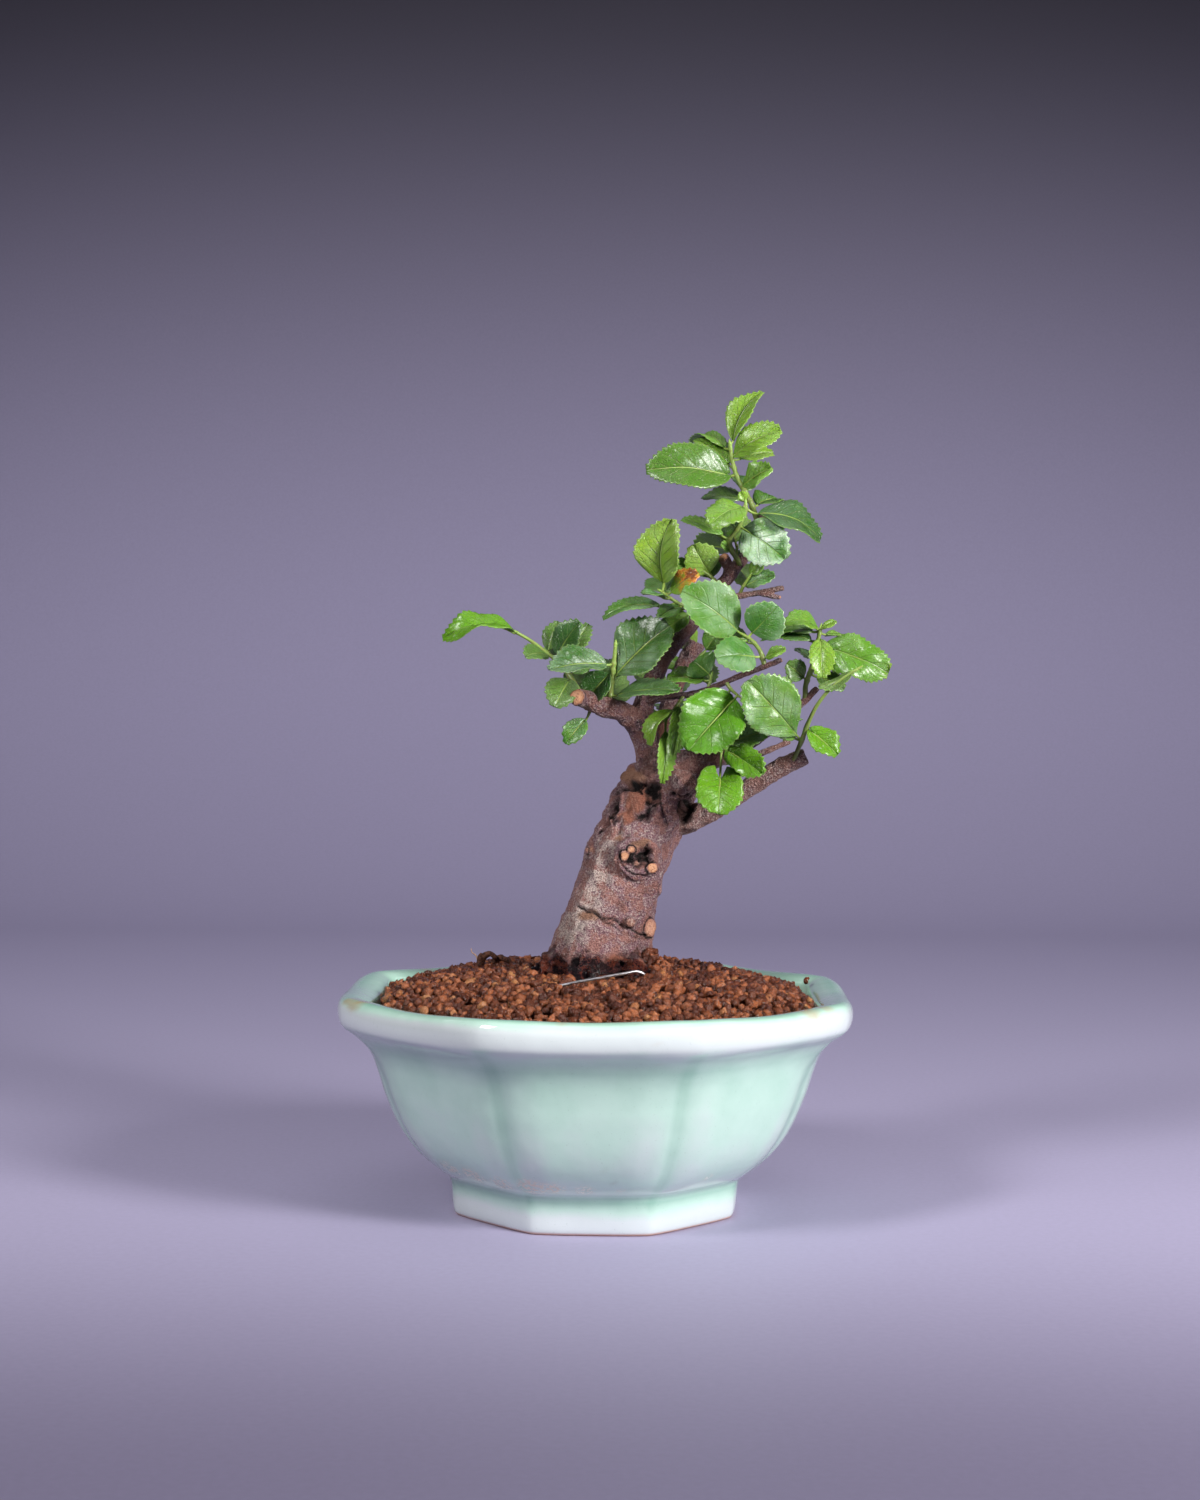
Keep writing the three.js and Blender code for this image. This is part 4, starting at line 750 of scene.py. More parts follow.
# Dark bark and painted shade seen from the front: x, z, reach across and up, and strength
DARK_BARK_AND_SHADE_PATCHES = [
    (4.8, 123.4, 2.4, 5.6, 0.8), (16, 134, 5, 10, 0.85), (26.6, 121.4, 3.4, 5.8, 0.9),
    (13, 107.6, 4.6, 3.4, 0.5),
    (11, 129, 3, 1.4, 0.7), (22, 131, 3, 6, 0.6), (13.4, 79, 4, 3, 0.4),
]
CREAM_STREAK = [(5.4, 112.7), (2.4, 106.7), (0.2, 100.7), (-2, 94.7), (-5, 88.7), (-8.7, 84.2)]
TAN_SCARS = [(-2.6, 90, 3.2, 1.7), (6.4, 113.2, 1.4, 1.4), (-2, 108.8, 1.2, 1), (11, 131.4, 4.4, 3),
             (12.6, 111.6, 4, 1.2)]
RUST_PATCHES = [(12.2, 126.4, 4, 2.6), (10.6, 123.4, 3.6, 3.2), (8.4, 119.8, 2.4, 3), (-16.2, 75.6, 2, 2.8),
                (6.6, 76.6, 5, 1.8), (15.4, 77.4, 2.4, 2.4),
                (19.6, 146.4, 2, 4.8)]


def trunk_relief(angle, share):
    """Root flare and ribs of the trunk."""
    flare = ROOT_FLARE * np.maximum(0, 1 - share / FLARE_SHARE) * np.cos(5 * angle + 0.7)
    swell = BARK_SWELL / 2 * np.sin(3 * angle + 9 * share)
    return 1 + flare + swell + BARK_RIPPLE / 2 * np.sin(7 * angle - 21 * share)


def limb_relief(index):
    """Ribs of one limb."""
    def relief(angle, share):
        swell = BARK_SWELL * np.sin(3 * angle + 17 * share + index)
        return 1 + swell + BARK_RIPPLE * np.sin(5 * angle - 29 * share)
    return relief


def fused(vertices, faces, voxel):
    """Joins closed bodies that run into each other into one skin of even small faces."""
    mesh = bpy.data.meshes.new("rough")
    mesh.from_pydata(np.asarray(vertices).tolist(), [], faces)
    rough = bpy.data.objects.new("rough", mesh)
    bpy.context.scene.collection.objects.link(rough)
    remesh = rough.modifiers.new("skin", "REMESH")
    remesh.mode = "VOXEL"
    remesh.voxel_size = voxel
    skin = bpy.data.meshes.new_from_object(rough.evaluated_get(bpy.context.evaluated_depsgraph_get()))
    place = np.zeros(len(skin.vertices) * 3)
    normal = np.zeros(len(skin.vertices) * 3)
    skin.vertices.foreach_get("co", place)
    skin.vertices.foreach_get("normal", normal)
    faces = [tuple(polygon.vertices) for polygon in skin.polygons]
    bpy.data.objects.remove(rough)
    bpy.data.meshes.remove(mesh)
    bpy.data.meshes.remove(skin)
    return place.reshape(-1, 3), normal.reshape(-1, 3), faces


def line_distance(points, line):
    """Shortest distance from each flat point to a broken line."""
    best = np.full(len(points), 1e9)
    for a, b in zip(np.array(line), np.array(line)[1:]):
        share = np.clip((points - a) @ (b - a) / np.sum((b - a) ** 2), 0, 1)
        best = np.minimum(best, np.linalg.norm(points - a - share[:, None] * (b - a), axis=1))
    return best


def nearest_limb(points):
    """The number of the limb that each point belongs to, with 0 for the trunk."""
    owner = np.zeros(len(points), int)
    best = np.full(len(points), 1e9)
    lines = [(TRUNK_POINTS, TRUNK_RADII)] + [(limb[1], limb[2]) for limb in LIMBS]
    for index, (line, radii) in enumerate(lines):
        shares = np.linspace(0, 1, 8 * len(line))
        centres = Spline(line).along(shares)
        radius = np.interp(shares, np.linspace(0, 1, len(radii)), radii)
        for k, centre in enumerate(centres):
            away = np.linalg.norm(points - centre, axis=1) - radius[k]
            closer = away < best
            best[closer] = away[closer]
            owner[closer] = index
    return owner


def patch(flat, x, z, across, up, soft=0.55):
    """1 inside an oval seen from the front, 0 outside, with a soft edge."""
    return 1 - smooth(soft, 1.1, np.hypot((flat[:, 0] - x) / across, (flat[:, 1] - z) / up))


def cut_faces(place, normal):
    """How far each point is on a pale sawn end, its place from pith to rim, and the painted shadow in the gap
    around it.
    """
    cut, ring, gap = np.zeros((3, len(place)))
    for _, points, radii, _, _, pale in LIMBS:
        curve = Spline(points)
        end = curve.at(1)
        onward = unit(end - curve.at(0.97))
        depth = (place - end) @ onward
        away = np.linalg.norm(place - end - depth[:, None] * onward, axis=1)
        near_end = 1 - smooth(0.35, 0.7, np.abs(depth))
        here = pale * near_end * (1 - smooth(radii[-1] - 0.35, radii[-1] + 0.05, away))
        here = here * smooth(0.2, 0.5, normal @ onward)
        around = np.exp(-((away - radii[-1] - 0.3) / 0.34) ** 2) * (1 - smooth(0.7, 1.6, np.abs(depth)))
        gap = np.maximum(gap, min(1, 2 * pale) * around)
        ring = np.where(here > cut, away / radii[-1], ring)
        cut = np.maximum(cut, here)
    return cut, ring, gap


def wood_mesh():
    """Trunk and limbs with their bark carved in, and shade painted into its hollows, dents, cracks and the
    gaps around cut ends.
    """
    parts = Parts()
    vertices, faces, _ = tube(TRUNK_POINTS, TRUNK_RADII, 48, 60, trunk_relief)
    parts.add(vertices, faces)
    for index, (_, points, radii, _, _, _) in enumerate(LIMBS):
        vertices, faces, _ = tube(points, radii, 24, 10 * len(points), limb_relief(index))
        parts.add(vertices, faces)
    place, normal, faces = fused(np.concatenate(parts.vertices), parts.faces, VOXEL)
    owner = nearest_limb(place)
    darkness = np.array([0.1] + [limb[3] for limb in LIMBS])[owner]
    pinkness = np.array([0.3] + [limb[4] for limb in LIMBS])[owner]
    cut, ring, gap = cut_faces(place, normal)
    shake = np.stack([layered(place, 2.6, 71), layered(place, 2.6, 72)], -1) - 0.5
    flat = place[:, [0, 2]] + 3.4 * shake
    drawn = place[:, [0, 2]] + 1.5 * shake
    front = smooth(0.0, 0.4, -normal[:, 1])
    on_trunk = (owner == 0).astype(float)
    wet = 1 - smooth(74.4, 79.6, place[:, 2] + 9 * (layered(place, 3, 21) - 0.5))
    # Long furrows run up the bark, and fine lumps lie all over it
    furrow = layered(place @ np.array([[1, 0, 0.3], [0, 1, 0], [-0.3, 0, 1]]), (1.5, 1.5, 8), 31)
    lumps = layered(place, 1.5, 41, 2)
    knobs = layered(place, 4.2, 51, 2)
    height = 1.1 * (furrow - 0.5) * (0.5 + 0.9 * darkness) + 0.7 * (lumps - 0.5)
    height = height + (knobs - 0.5) * (0.3 + on_trunk)
    root = layered(place, (2.0, 2.0, 4.0), 61)
    # Torn and fissured bark below the left stem
    torn = patch(place[:, [0, 2]], 4.4, 121, 6, 9, 0.4)
    height += 2.6 * torn * (layered(place, 2.4, 95) - 0.5)
    height += wet * (4.2 * (root - 0.5) + 1.8 * (lumps - 0.5) - 0.1)
    broken = 0.25 + 0.75 * smooth(0.34, 0.62, layered(place, 1.5, 91))
    # Painted shade: the gaps around cut ends, the dents and the cracks get a near-black share
    crevice_shade = 0.7 * gap
    for x, z, across, up, depth, dark in FRONT_DENTS:
        dent = patch(flat, x, z, across, up, 0.65) * front
        height -= depth * dent
        crevice_shade = np.maximum(crevice_shade, dent * dark * broken)
    for line, half, depth, dark in FRONT_LINES:
        groove = np.exp(-(line_distance(drawn, line) / half) ** 2) * front
        height -= depth * groove
        crevice_shade = np.maximum(crevice_shade, groove * dark * (0.3 + 0.7 * broken))
    height *= 1 - 0.7 * np.clip(cut * 1.2, 0, 1)
    crevice_shade *= 1 - cut
    thin = np.interp(np.array([12] + [min(limb[2]) for limb in LIMBS])[owner], [0.8, 2.4], [0.3, 1])
    place = place + normal * (np.clip(height, -2.8, 1.6) * thin)[:, None]
    # Dark bark, with painted shadow beside the stems and between the trunk and the lower branch
    for x, z, across, up, strength in DARK_BARK_AND_SHADE_PATCHES:
        cover = patch(flat, x, z, across, up, 0.3) * front
        darkness = np.maximum(darkness, strength * (0.4 + 0.6 * broken) * cover)
    rust = np.max([patch(flat, *spot, 0.6) for spot in RUST_PATCHES], axis=0) * front
    streak = np.exp(-(line_distance(flat, CREAM_STREAK) / 3.4) ** 2) * on_trunk * front
    streak *= 0.35 + 0.65 * smooth(0.36, 0.6, layered(place, 2.6, 97))
    scar = np.max([patch(flat, *spot, 0.5) for spot in TAN_SCARS], axis=0) * front
    crevice_shade = smooth(0.2, 0.6, crevice_shade)
    # Painted shade: the bark goes darker where the relief sinks
    hollow = smooth(0.15, 0.8, -height)
    values = {
        "bark_cut": cut, "bark_wet": wet, "bark_rust": rust, "bark_pale": streak,
        "bark_scar": scar * (1 - crevice_shade),
        "bark_dark": np.clip(darkness + 0.45 * hollow * (1 - cut), 0, 1), "bark_crevice_shade": crevice_shade,
        "bark_pink": pinkness, "bark_ring": ring,
    }
    return place, faces, values


def bark(look):
    """Living bark, grown and weathered: dull, scaly and mottled, with pale wood where a branch was cut, and
    painted shade in its hollows, dents, cracks and the gaps around cut ends.
    """
    made, tree, shader = material("weathered_bark", roughness=0.8, ior=1.45)
    place = add(tree, "TexCoord", out="Object")
    value = {key: add(tree, "Attribute", attribute_name="bark_" + key, out="Fac")
             for key in ("cut", "wet", "rust", "pale", "scar", "dark", "crevice_shade", "pink", "ring")}
    # Patches 4 mm across, scales 0.6 mm across and grains 0.45 mm across
    patches = add(tree, "TexNoise", {"Vector": place, "Scale": 260, "Detail": 4, "Roughness": 0.6})
    scales = add(tree, "TexNoise", {"Vector": place, "Scale": 1700, "Detail": 6, "Roughness": 0.76})
    grains = add(tree, "TexVoronoi", {"Vector": place, "Scale": 2200})
    body = (*look.body_colour[:], 1)
    purple, fleck, dark = (*look.purple_colour[:], 1), (*look.fleck_colour[:], 1), (*look.dark_colour[:], 1)
    blend = remap(tree, patches, 0.46, 0.54)
    colour = mix(tree, blend, body, purple)
    colour = mix(tree, value["pink"], colour, linear("a07a6e"))
    lifted = calc(tree, "MULTIPLY_ADD", patches, 0.35, scales)
    lifted = calc(tree, "MULTIPLY_ADD", value["pale"], 0.17, lifted)
    flecks = remap(tree, lifted, 0.68, 0.84, 0, 0.9)
    colour = mix(tree, flecks, colour, fleck)
    pits = remap(tree, scales, 0.48, 0.3)
    covered = remap(tree, value["pale"], 0, 1, 1, 0.35)
    pits = calc(tree, "MULTIPLY", pits, covered)
    colour = mix(tree, pits, colour, dark)
    # Dark bark, with painted shade where the relief sinks and beside the stems
    shade = remap(tree, value["dark"], 0, 1, 0, 0.88)
    colour = mix(tree, shade, colour, dark)
    healed = mix(tree, pits, look.scar_colour, linear("6b4434"))
    colour = mix(tree, value["scar"], colour, healed)
    rusty = mix(tree, flecks, look.rust_colour, linear("c18f78"))
    colour = mix(tree, value["rust"], colour, rusty)
    # Painted shade: near black in the dents, along the cracks and in the gaps around cut ends
    colour = mix(tree, value["crevice_shade"], colour, linear("150d0b"))
    film = calc(tree, "MULTIPLY_ADD", patches, 0.9, scales)
    film = calc(tree, "MULTIPLY_ADD", value["rust"], 0.1, film)
    drip = add(tree, "ValToRGB", {"Fac": film}, stops=[(0.95, linear("0b090f")), (1.0, linear("2b2236")),
                                                       (1.0, linear("6e3424"))])
    soaked = remap(tree, value["wet"], 0.2, 0.75, 0, 0.95)
    colour = mix(tree, soaked, colour, drip)
    # Five growth rings on each cut, drawn coarser than real ones, a stained rim and fine cracks
    ring = calc(tree, "MULTIPLY_ADD", value["ring"], 30.0, scales)
    ring = calc(tree, "SINE", ring)
    rings_mask = remap(tree, ring, 0, 1, 0, 0.3)
    rim = remap(tree, value["ring"], 0.5, 0.92, 0, 0.85)
    crack = remap(tree, scales, 0.5, 0.38)
    ring_mask = calc(tree, "MAXIMUM", rings_mask, rim)
    ring_mask = calc(tree, "MAXIMUM", ring_mask, crack)
    cut_wood = mix(tree, ring_mask, look.cut_colour, linear("7e4a2e"))
    colour = mix(tree, value["cut"], colour, cut_wood)
    tree.links.new(colour, shader.inputs["Base Color"])
    gloss = remap(tree, value["wet"], 0, 1, 0.46, 0.08)
    tree.links.new(gloss, shader.inputs["Roughness"])
    relief = calc(tree, "MULTIPLY_ADD", grains, -0.5, scales)
    keep = remap(tree, value["cut"], 0, 1, 1.0, 0.2)
    bump = add(tree, "Bump", {"Height": relief, "Strength": keep, "Distance": 0.002})
    tree.links.new(bump, shader.inputs["Normal"])
    return made


# Leafy shoots

BLADE_THICKNESS = 0.3
STALK_RADIUS = 0.42

# Leaf tones: how young and yellow, how dark, how olive and dull, how hurt, how pale its veins are,
# how deep and sappy its green is, and how much painted sheen of pale whitish green lies on it as highlight
TONES = {
    "young": (0.85, 0.0, 0.0, 0.0, 0.6, 0.2, 0.1), "bright": (0.5, 0.0, 0.0, 0.0, 0.5, 0.25, 0.1),
    "mid": (0.15, 0.1, 0.0, 0.0, 0.5, 0.0, 0.25), "blue": (0.05, 0.05, 0.0, 0.0, 0.15, 0.0, 0.36),
    "silver": (0.1, 0.0, 0.0, 0.0, 0.3, 0.0, 1.2), "dark": (0.0, 0.7, 0.0, 0.0, 0.5, 0.0, 0.12),
    "olive": (0.2, 0.15, 0.85, 0.0, 0.8, 0.0, 0.15), "vivid": (0.65, 0.0, 0.0, 0.0, 0.4, 0.8, 0.0),
    "crinkled": (0.1, 0.5, 0.0, 0.0, 0.3, 0.8, 0.0), "folded": (0.95, 0.0, 0.2, 0.0, 0.8, 0.0, 0.15),
    "hurt": (0.9, 0.0, 0.3, 1.0, 0.3, 0.0, 0.0), "bitten": (0.2, 0.1, 0.0, 0.26, 0.4, 0.4, 0.1),
    "glossy": (0.1, 0.35, 0.5, 0.0, 1.0, 0.2, 0.0), "dark_sheened": (0.0, 0.6, 0.0, 0.0, 0.6, 0.0, 0.4),
    "sheened": (0.15, 0.0, 0.0, 0.0, 0.5, 0.2, 0.55),
}


def leaf(at, tip, width, face, tone="mid", fold=12, bend=0.08, petiole=2.5, rounding=0.6, notch=0.0, curl=0.0,
         wave=0.06, sweep=0.0, twist=0.0, skew=0.92, pucker=0.34, base=None):
    """One leaf: its place along the stem, tip, width, the way its upper face looks, its tone, and its shape.

    fold and twist are degrees, and pucker is millimetres. bend, notch, curl, wave and sweep are shares of
    the blade's length or width. skew is under 1 for a blade that is widest near its stalk, and over 1 near
    its tip. rounding and base are powers that make the outline blunter as they get smaller, at the tip and
    at the stalk.
    """
    return dict(at=at, tip=tip, width=width, face=face, tone=tone, fold=fold, bend=bend, petiole=petiole,
                rounding=rounding, notch=notch, curl=curl, wave=wave, sweep=sweep, twist=twist, skew=skew,
                pucker=pucker, base=rounding if base is None else base)


SHOOTS = [
    ("shoot_apex", 0.8, [(48.4, -2, 208), (46.2, -4, 213.9), (44.6, -4, 217.2), (41.7, -3, 222.6),
                         (40.2, -2, 228),
                         (39.5, -2, 232.5)], [
        leaf(1, (49.4, -1, 248.7), 9.6, (-0.6, -0.75, 0.1), "young", 24, 0.06, 1.5, rounding=0.8, sweep=-0.1),
        leaf(0.84, (54.8, -6, 236.6), 10.6, (0, -0.8, 0.6), "young", 14, 0.12, 1.2, notch=0.4,
             wave=0.08, skew=1.1),
        leaf(0.8, (53, 2, 230.6), 6.4, (0, -0.7, 0.6), "young", bend=0.1),
        leaf(0.62, (13.8, -9, 224), 16, (0.1, -0.88, 0.44), "glossy", 16, 0.1, 3, notch=0.3, pucker=0.5),
        leaf(0.7, (29.7, 6, 235), 10, (0.3, -0.7, 0.6), "bright"),
        leaf(0.95, (28.4, 12, 235), 7, (0, -0.3, 1), "bright", bend=0.18),
        leaf(0.5, (51.6, -10, 225), 9, (-0.2, -0.8, 0.5), "bright", 24, petiole=0.6, wave=0.14,
             curl=-0.1, pucker=0.6),
        leaf(0.3, (31.5, 2, 217), 8, (0, -0.6, 0.8), "olive"),
        leaf(0.2, (54.6, 4, 216.5), 10, (0, -0.5, 0.85), "mid", bend=0.12),
        leaf(0.45, (47, 15, 223), 11, (0.1, 0.5, 0.8), "mid", bend=0.12),
    ]),
    ("shoot_upper", 0.75, [(42.8, -3, 196), (39.2, -8, 202.8), (41.3, -10, 206.2), (43.8, -11, 211.4),
                           (43.8, -11, 214)], [
        leaf(0.95, (32.6, -18, 206.4), 11.6, (-0.4, -0.85, 0.4), "bright", 14, 0.14, 1.6,
             curl=-0.14, wave=0.1),
        leaf(1, (42.2, -11, 217.6), 3.4, (0, -0.8, 0.5), "young", petiole=0.8),
        leaf(0.56, (55.4, -17, 197), 14, (-0.29, -0.89, 0.35), "silver", 6, 0.06, 1.6, 0.5,
             wave=0.12, pucker=0.6),
        leaf(0.85, (66.6, -9, 203.4), 15, (0.1, -0.62, 0.78), "dark", 18, 0.17, 4, curl=-0.1,
             wave=0.06, pucker=0.3),
        leaf(0.3, (25, -4, 209.6), 7, (0, -0.5, 0.9), "bright", 6),
        leaf(0.5, (39.6, 1, 211), 5, (0, -0.5, 0.8), "dark"),
        leaf(0.25, (34, 9, 207), 10, (-0.2, 0.5, 0.8), "mid", bend=0.1),
        leaf(0.15, (36.4, -9, 202), 3.6, (0, -0.9, 0.3), "bright", petiole=0.8),
    ]),
    ("shoot_leader_left", 0.65, [(36.8, -2, 189.5), (33.5, -5, 192.5), (29.5, -7, 195)], [
        leaf(0.5, (28, -9, 201.8), 11, (-0.2, -0.9, 0.3), "folded", petiole=1),
        leaf(1, (22.4, -8.6, 193.2), 8, (0, -0.9, 0.4), "bright", petiole=1),
        leaf(0.3, (31.2, -3, 199.4), 9, (-0.1, -0.8, 0.5), "olive", petiole=1),
        leaf(0.6, (29.4, 1, 192), 5, (0, -0.4, 0.9), "mid", petiole=1),
    ]),
    ("shoot_leader_right", 0.55, [(42.4, -5, 186.4), (43.6, -6.4, 189.4), (45.2, -7.4, 192)], [
        leaf(0.5, (53, -9.6, 192.6), 6, (0, -0.8, 0.6), "mid", petiole=1),
        leaf(1, (49.6, -8, 197.8), 4.4, (-0.2, -0.9, 0.3), "bright", petiole=1),
    ]),
    ("shoot_middle_left", 0.65, [(30, -3, 180.2), (27, -6, 182.5), (23.3, -8, 184.4), (19, -9, 187.3)], [
        leaf(1, (21.6, -14, 209), 15.4, (-0.3, -0.92, 0.2), "folded", 26, 0.07, 3, sweep=-0.09,
             wave=0.1, pucker=0.5),
        leaf(0.8, (13, -14, 186.4), 8, (0, -0.3, 0.95), "mid", 10),
        leaf(0.66, (1.2, -8, 179), 8, (-0.1, -0.5, 0.86), "mid", bend=0.14, petiole=5),
        leaf(0.9, (29.6, -14, 193), 7.4, (0.1, -0.85, 0.5), "hurt", 14, petiole=2, wave=0.1),
        leaf(0.2, (19.6, -6, 175.6), 8, (-0.2, -0.8, 0.5), "bright", petiole=1.5),
        leaf(0.4, (18.6, 2, 180.6), 8, (0, -0.4, 0.9), "dark", petiole=2),
        leaf(0.9, (21, 13, 193), 12, (-0.2, 0.6, 0.7), "mid", 14, 0.08),
        leaf(0.5, (18, -14, 179.4), 6, (-0.2, -0.8, 0.5), "mid", petiole=1.5),
    ]),
    ("shoot_twig_end", 0.7, [(49.3, -18, 165.5), (48, -18, 169.6), (45.3, -17, 173), (43.2, -16, 174.4)], [
        leaf(1, (24.4, -22, 187), 16.8, (0.05, -0.9, 0.34), "blue", 16, 0.1, wave=0.02, pucker=0.08),
        leaf(0.8, (53, -21, 183), 13.4, (0.3, -0.9, 0.2), "blue", 18, petiole=2, rounding=0.55,
             wave=0.02, pucker=0.08),
        leaf(0.2, (34.4, -25, 167.2), 12.6, (0, -0.85, 0.5), "blue", 8, petiole=2.5, rounding=0.52,
             wave=0.02, pucker=0.08),
        leaf(0.55, (32.6, -10, 175), 8, (0, -0.6, 0.8), "bright", petiole=2),
        leaf(0.15, (55.4, -22, 170), 4, (0, -0.8, 0.6), "bright", petiole=1),
    ]),
    ("shoot_right_upper", 0.75, [(62.4, -8, 155), (62.6, -9, 160), (64, -10, 164.3), (65.3, -10, 169.5),
                                 (66.4, -10, 175), (66.7, -10, 176.5)], [
        leaf(1, (55.6, -13, 178), 9, (0, -0.6, 0.8), "bright", bend=0.2, petiole=1, wave=0.08),
        leaf(1, (71.4, -12, 178.6), 3.4, (0, -0.7, 0.7), "young", petiole=0.8),
        leaf(0.92, (52.6, -1, 175.6), 8, (0, -0.55, 0.85), "mid"),
        leaf(0.72, (50.4, 3, 173.4), 8, (0, -0.6, 0.8), "mid", bend=0.12),
        leaf(0.8, (66.8, -15, 161.6), 7.8, (0.1, -0.9, 0.3), "young", 14, petiole=1.6),
        leaf(0.86, (77, -5, 172.8), 6, (0, -0.2, 1), "bright", petiole=2),
        leaf(0.66, (87, -13, 163.4), 13.6, (-0.1, -0.88, 0.42), "bitten", 14, 0.12, 1.4, 0.45, wave=0.15,
             curl=-0.12, pucker=0.7),
        leaf(0.4, (71, 1, 162.6), 7, (0, -0.5, 0.8), "dark"),
        leaf(0.55, (65, 11, 168), 9.4, (0, 0.5, 0.8), "mid", bend=0.1),
        leaf(0.35, (73.6, -14, 158.4), 7, (0.1, -0.7, 0.6), "olive"),
        leaf(0.25, (56.4, -12, 166), 7, (-0.1, -0.9, 0.3), "olive", petiole=1.5),
    ]),
    ("shoot_right_lower", 0.65, [(58.2, -10.4, 135), (60.6, -14, 142), (64, -17, 151.4), (67.2, -19, 156.6),
                                 (71.6, -20.6, 161), (76.6, -22, 164.4)], [
        leaf(0.3, (71.4, -18, 138.8), 8.6, (0.15, -0.9, 0.4), "vivid", petiole=1.5, notch=0.5,
             wave=0.12, pucker=0.5),
        leaf(0.97, (65.4, -19, 159), 6, (0.2, 0.5, -0.8), "olive", petiole=1),
        leaf(0.22, (43.8, -25, 160.8), 17.6, (-0.29, -0.88, 0.38), "sheened", 10, 0.08, 2, 0.55,
             wave=0.07, skew=1.3,
             pucker=0.5, base=0.8),
        leaf(0.22, (50.4, -14, 147.4), 6.6, (0, -0.8, 0.6), "mid", petiole=2),
    ]),
    ("shoot_second_stem", 0.65, [(25.5, 11, 163), (29, 14, 166), (32.6, 16, 169.6)], [
        leaf(1, (38.6, 18, 177), 7, (-0.1, -0.9, 0.4), "mid", petiole=1.5),
        leaf(0.9, (20.4, 15, 184), 8, (0, -0.9, 0.4), "young", petiole=3),
        leaf(0.4, (18, 19, 166.4), 6.5, (0, -0.7, 0.6), "bright"),
        leaf(0.5, (36, 26, 160), 9, (0.1, 0.6, 0.8), "mid", bend=0.12),
        leaf(0.8, (22, 29, 173), 12, (-0.1, 0.7, 0.7), "mid", 14),
    ]),
    ("shoot_front_twig", 0.6, [(38, -16, 160.4), (39.4, -17.6, 158.2), (41.4, -18.6, 156.4)], [
        leaf(1, (26.6, -25, 140), 20.5, (0.25, -0.78, 0.58), "crinkled", 24, 0.06, 1.5, 0.5,
             wave=0.14, pucker=0.9),
        leaf(0.5, (30, -16, 147), 9, (-0.3, -0.8, 0.5), "bright", petiole=1.5),
    ]),
    ("shoot_twig_top", 0.55, [(32.6, -14.6, 158), (33.4, -14.4, 160.4), (33.8, -13.8, 162)], [
        leaf(1, (28.6, -11, 166.6), 11.5, (0, -0.95, 0.3), "mid", 22, petiole=1),
        leaf(0.6, (20.4, -13, 161.6), 8, (0, -0.6, 0.8), "bright", petiole=2),
    ]),
    ("shoot_centre", 0.6, [(25.6, -12.4, 156), (23.4, -14.4, 153), (20.4, -15.4, 149.4)], [
        leaf(0.3, (22, -20, 138.6), 6.6, (0.5, -0.8, 0.2), "bright", petiole=1.5),
        leaf(0.5, (15.8, -17, 141), 8.4, (-0.8, -0.5, 0.2), "young", 20, 0.22, 1.5),
        leaf(1, (19, -20, 130), 6.6, (0.3, -1, 0.1), "bright", 34, petiole=4, rounding=0.75),
    ]),
    ("shoot_right_branch", 0.65, [(36.4, -4, 138.2), (36.6, -11, 140.4), (38.4, -13.4, 141.6)], [
        leaf(0.7, (35.6, -23, 121), 13.8, (0, -0.96, 0.28), "vivid", 8, petiole=10.8, rounding=0.5,
             notch=2.3, wave=0.08,
             base=0.3, pucker=0.5),
        leaf(0.7, (49.2, -18, 132.6), 9.4, (0, -0.9, 0.4), "vivid", petiole=3, notch=0.8,
             wave=0.16, pucker=0.7),
        leaf(0.4, (48, -9, 144), 8, (0.1, -0.8, 0.5), "young", petiole=2),
        leaf(1, (40.6, -13, 146.6), 4.4, (0, -0.9, 0.4), "mid", petiole=1),
        leaf(0.9, (51.2, -11.6, 146), 8, (0, -0.85, 0.5), "mid", petiole=2),
    ]),
    ("shoot_left_upright", 0.85, [(3.2, -9.4, 153.4), (3.8, -10.5, 159), (4.5, -11.5, 165), (5, -12, 171)], [
        leaf(0.46, (21.2, -13, 177.2), 20, (-0.3, -0.8, 0.5), "dark_sheened", 14, 0.06, 2, skew=1.05, pucker=0.5),
        leaf(0.7, (-14.8, -20, 163.6), 12, (0, -0.7, 0.7), "dark_sheened", 24, 0.08),
        leaf(0.16, (24, -22, 157.6), 9.6, (0, -0.6, 0.8), "dark", bend=0.06),
        leaf(0.6, (-3.4, -9, 154), 10, (-0.29, -0.88, 0.36), "dark", 18, 0.12, 1.5),
        leaf(0.55, (12.4, -9, 164.4), 4, (0, -0.8, 0.5), "bright"),
        leaf(0.4, (3, 5, 167), 11, (0, 0.4, 0.9), "mid", bend=0.1),
    ]),
    ("shoot_left_hanging", 0.55, [(-2.4, -9, 151.6), (-3.2, -8.6, 149.6)], [
        leaf(1, (-9.8, -11, 141.4), 7.2, (-0.3, -0.9, 0.3), "mid", petiole=1, rounding=0.7),
    ]),
    ("shoot_left_outer", 0.75, [(-4.8, -12.4, 155.4), (-8.8, -8.6, 162), (-12.5, -6, 166.5),
                                (-15.6, -5, 168.7),
                                (-20.5, -5, 172.4), (-25, -6, 175)], [
        leaf(1, (-47.2, -8, 173), 11.4, (0, -0.5, 0.85), "vivid", 16, 0.18, 0.5, wave=0.12, twist=50,
             pucker=0.6, base=0.42),
        leaf(0.6, (-22, -15, 167.4), 7.4, (0, -0.8, 0.5), "olive", petiole=1.5),
        leaf(0.45, (-5.6, -11, 178.2), 9.4, (-0.1, -0.85, 0.4), "dark", petiole=1.5),
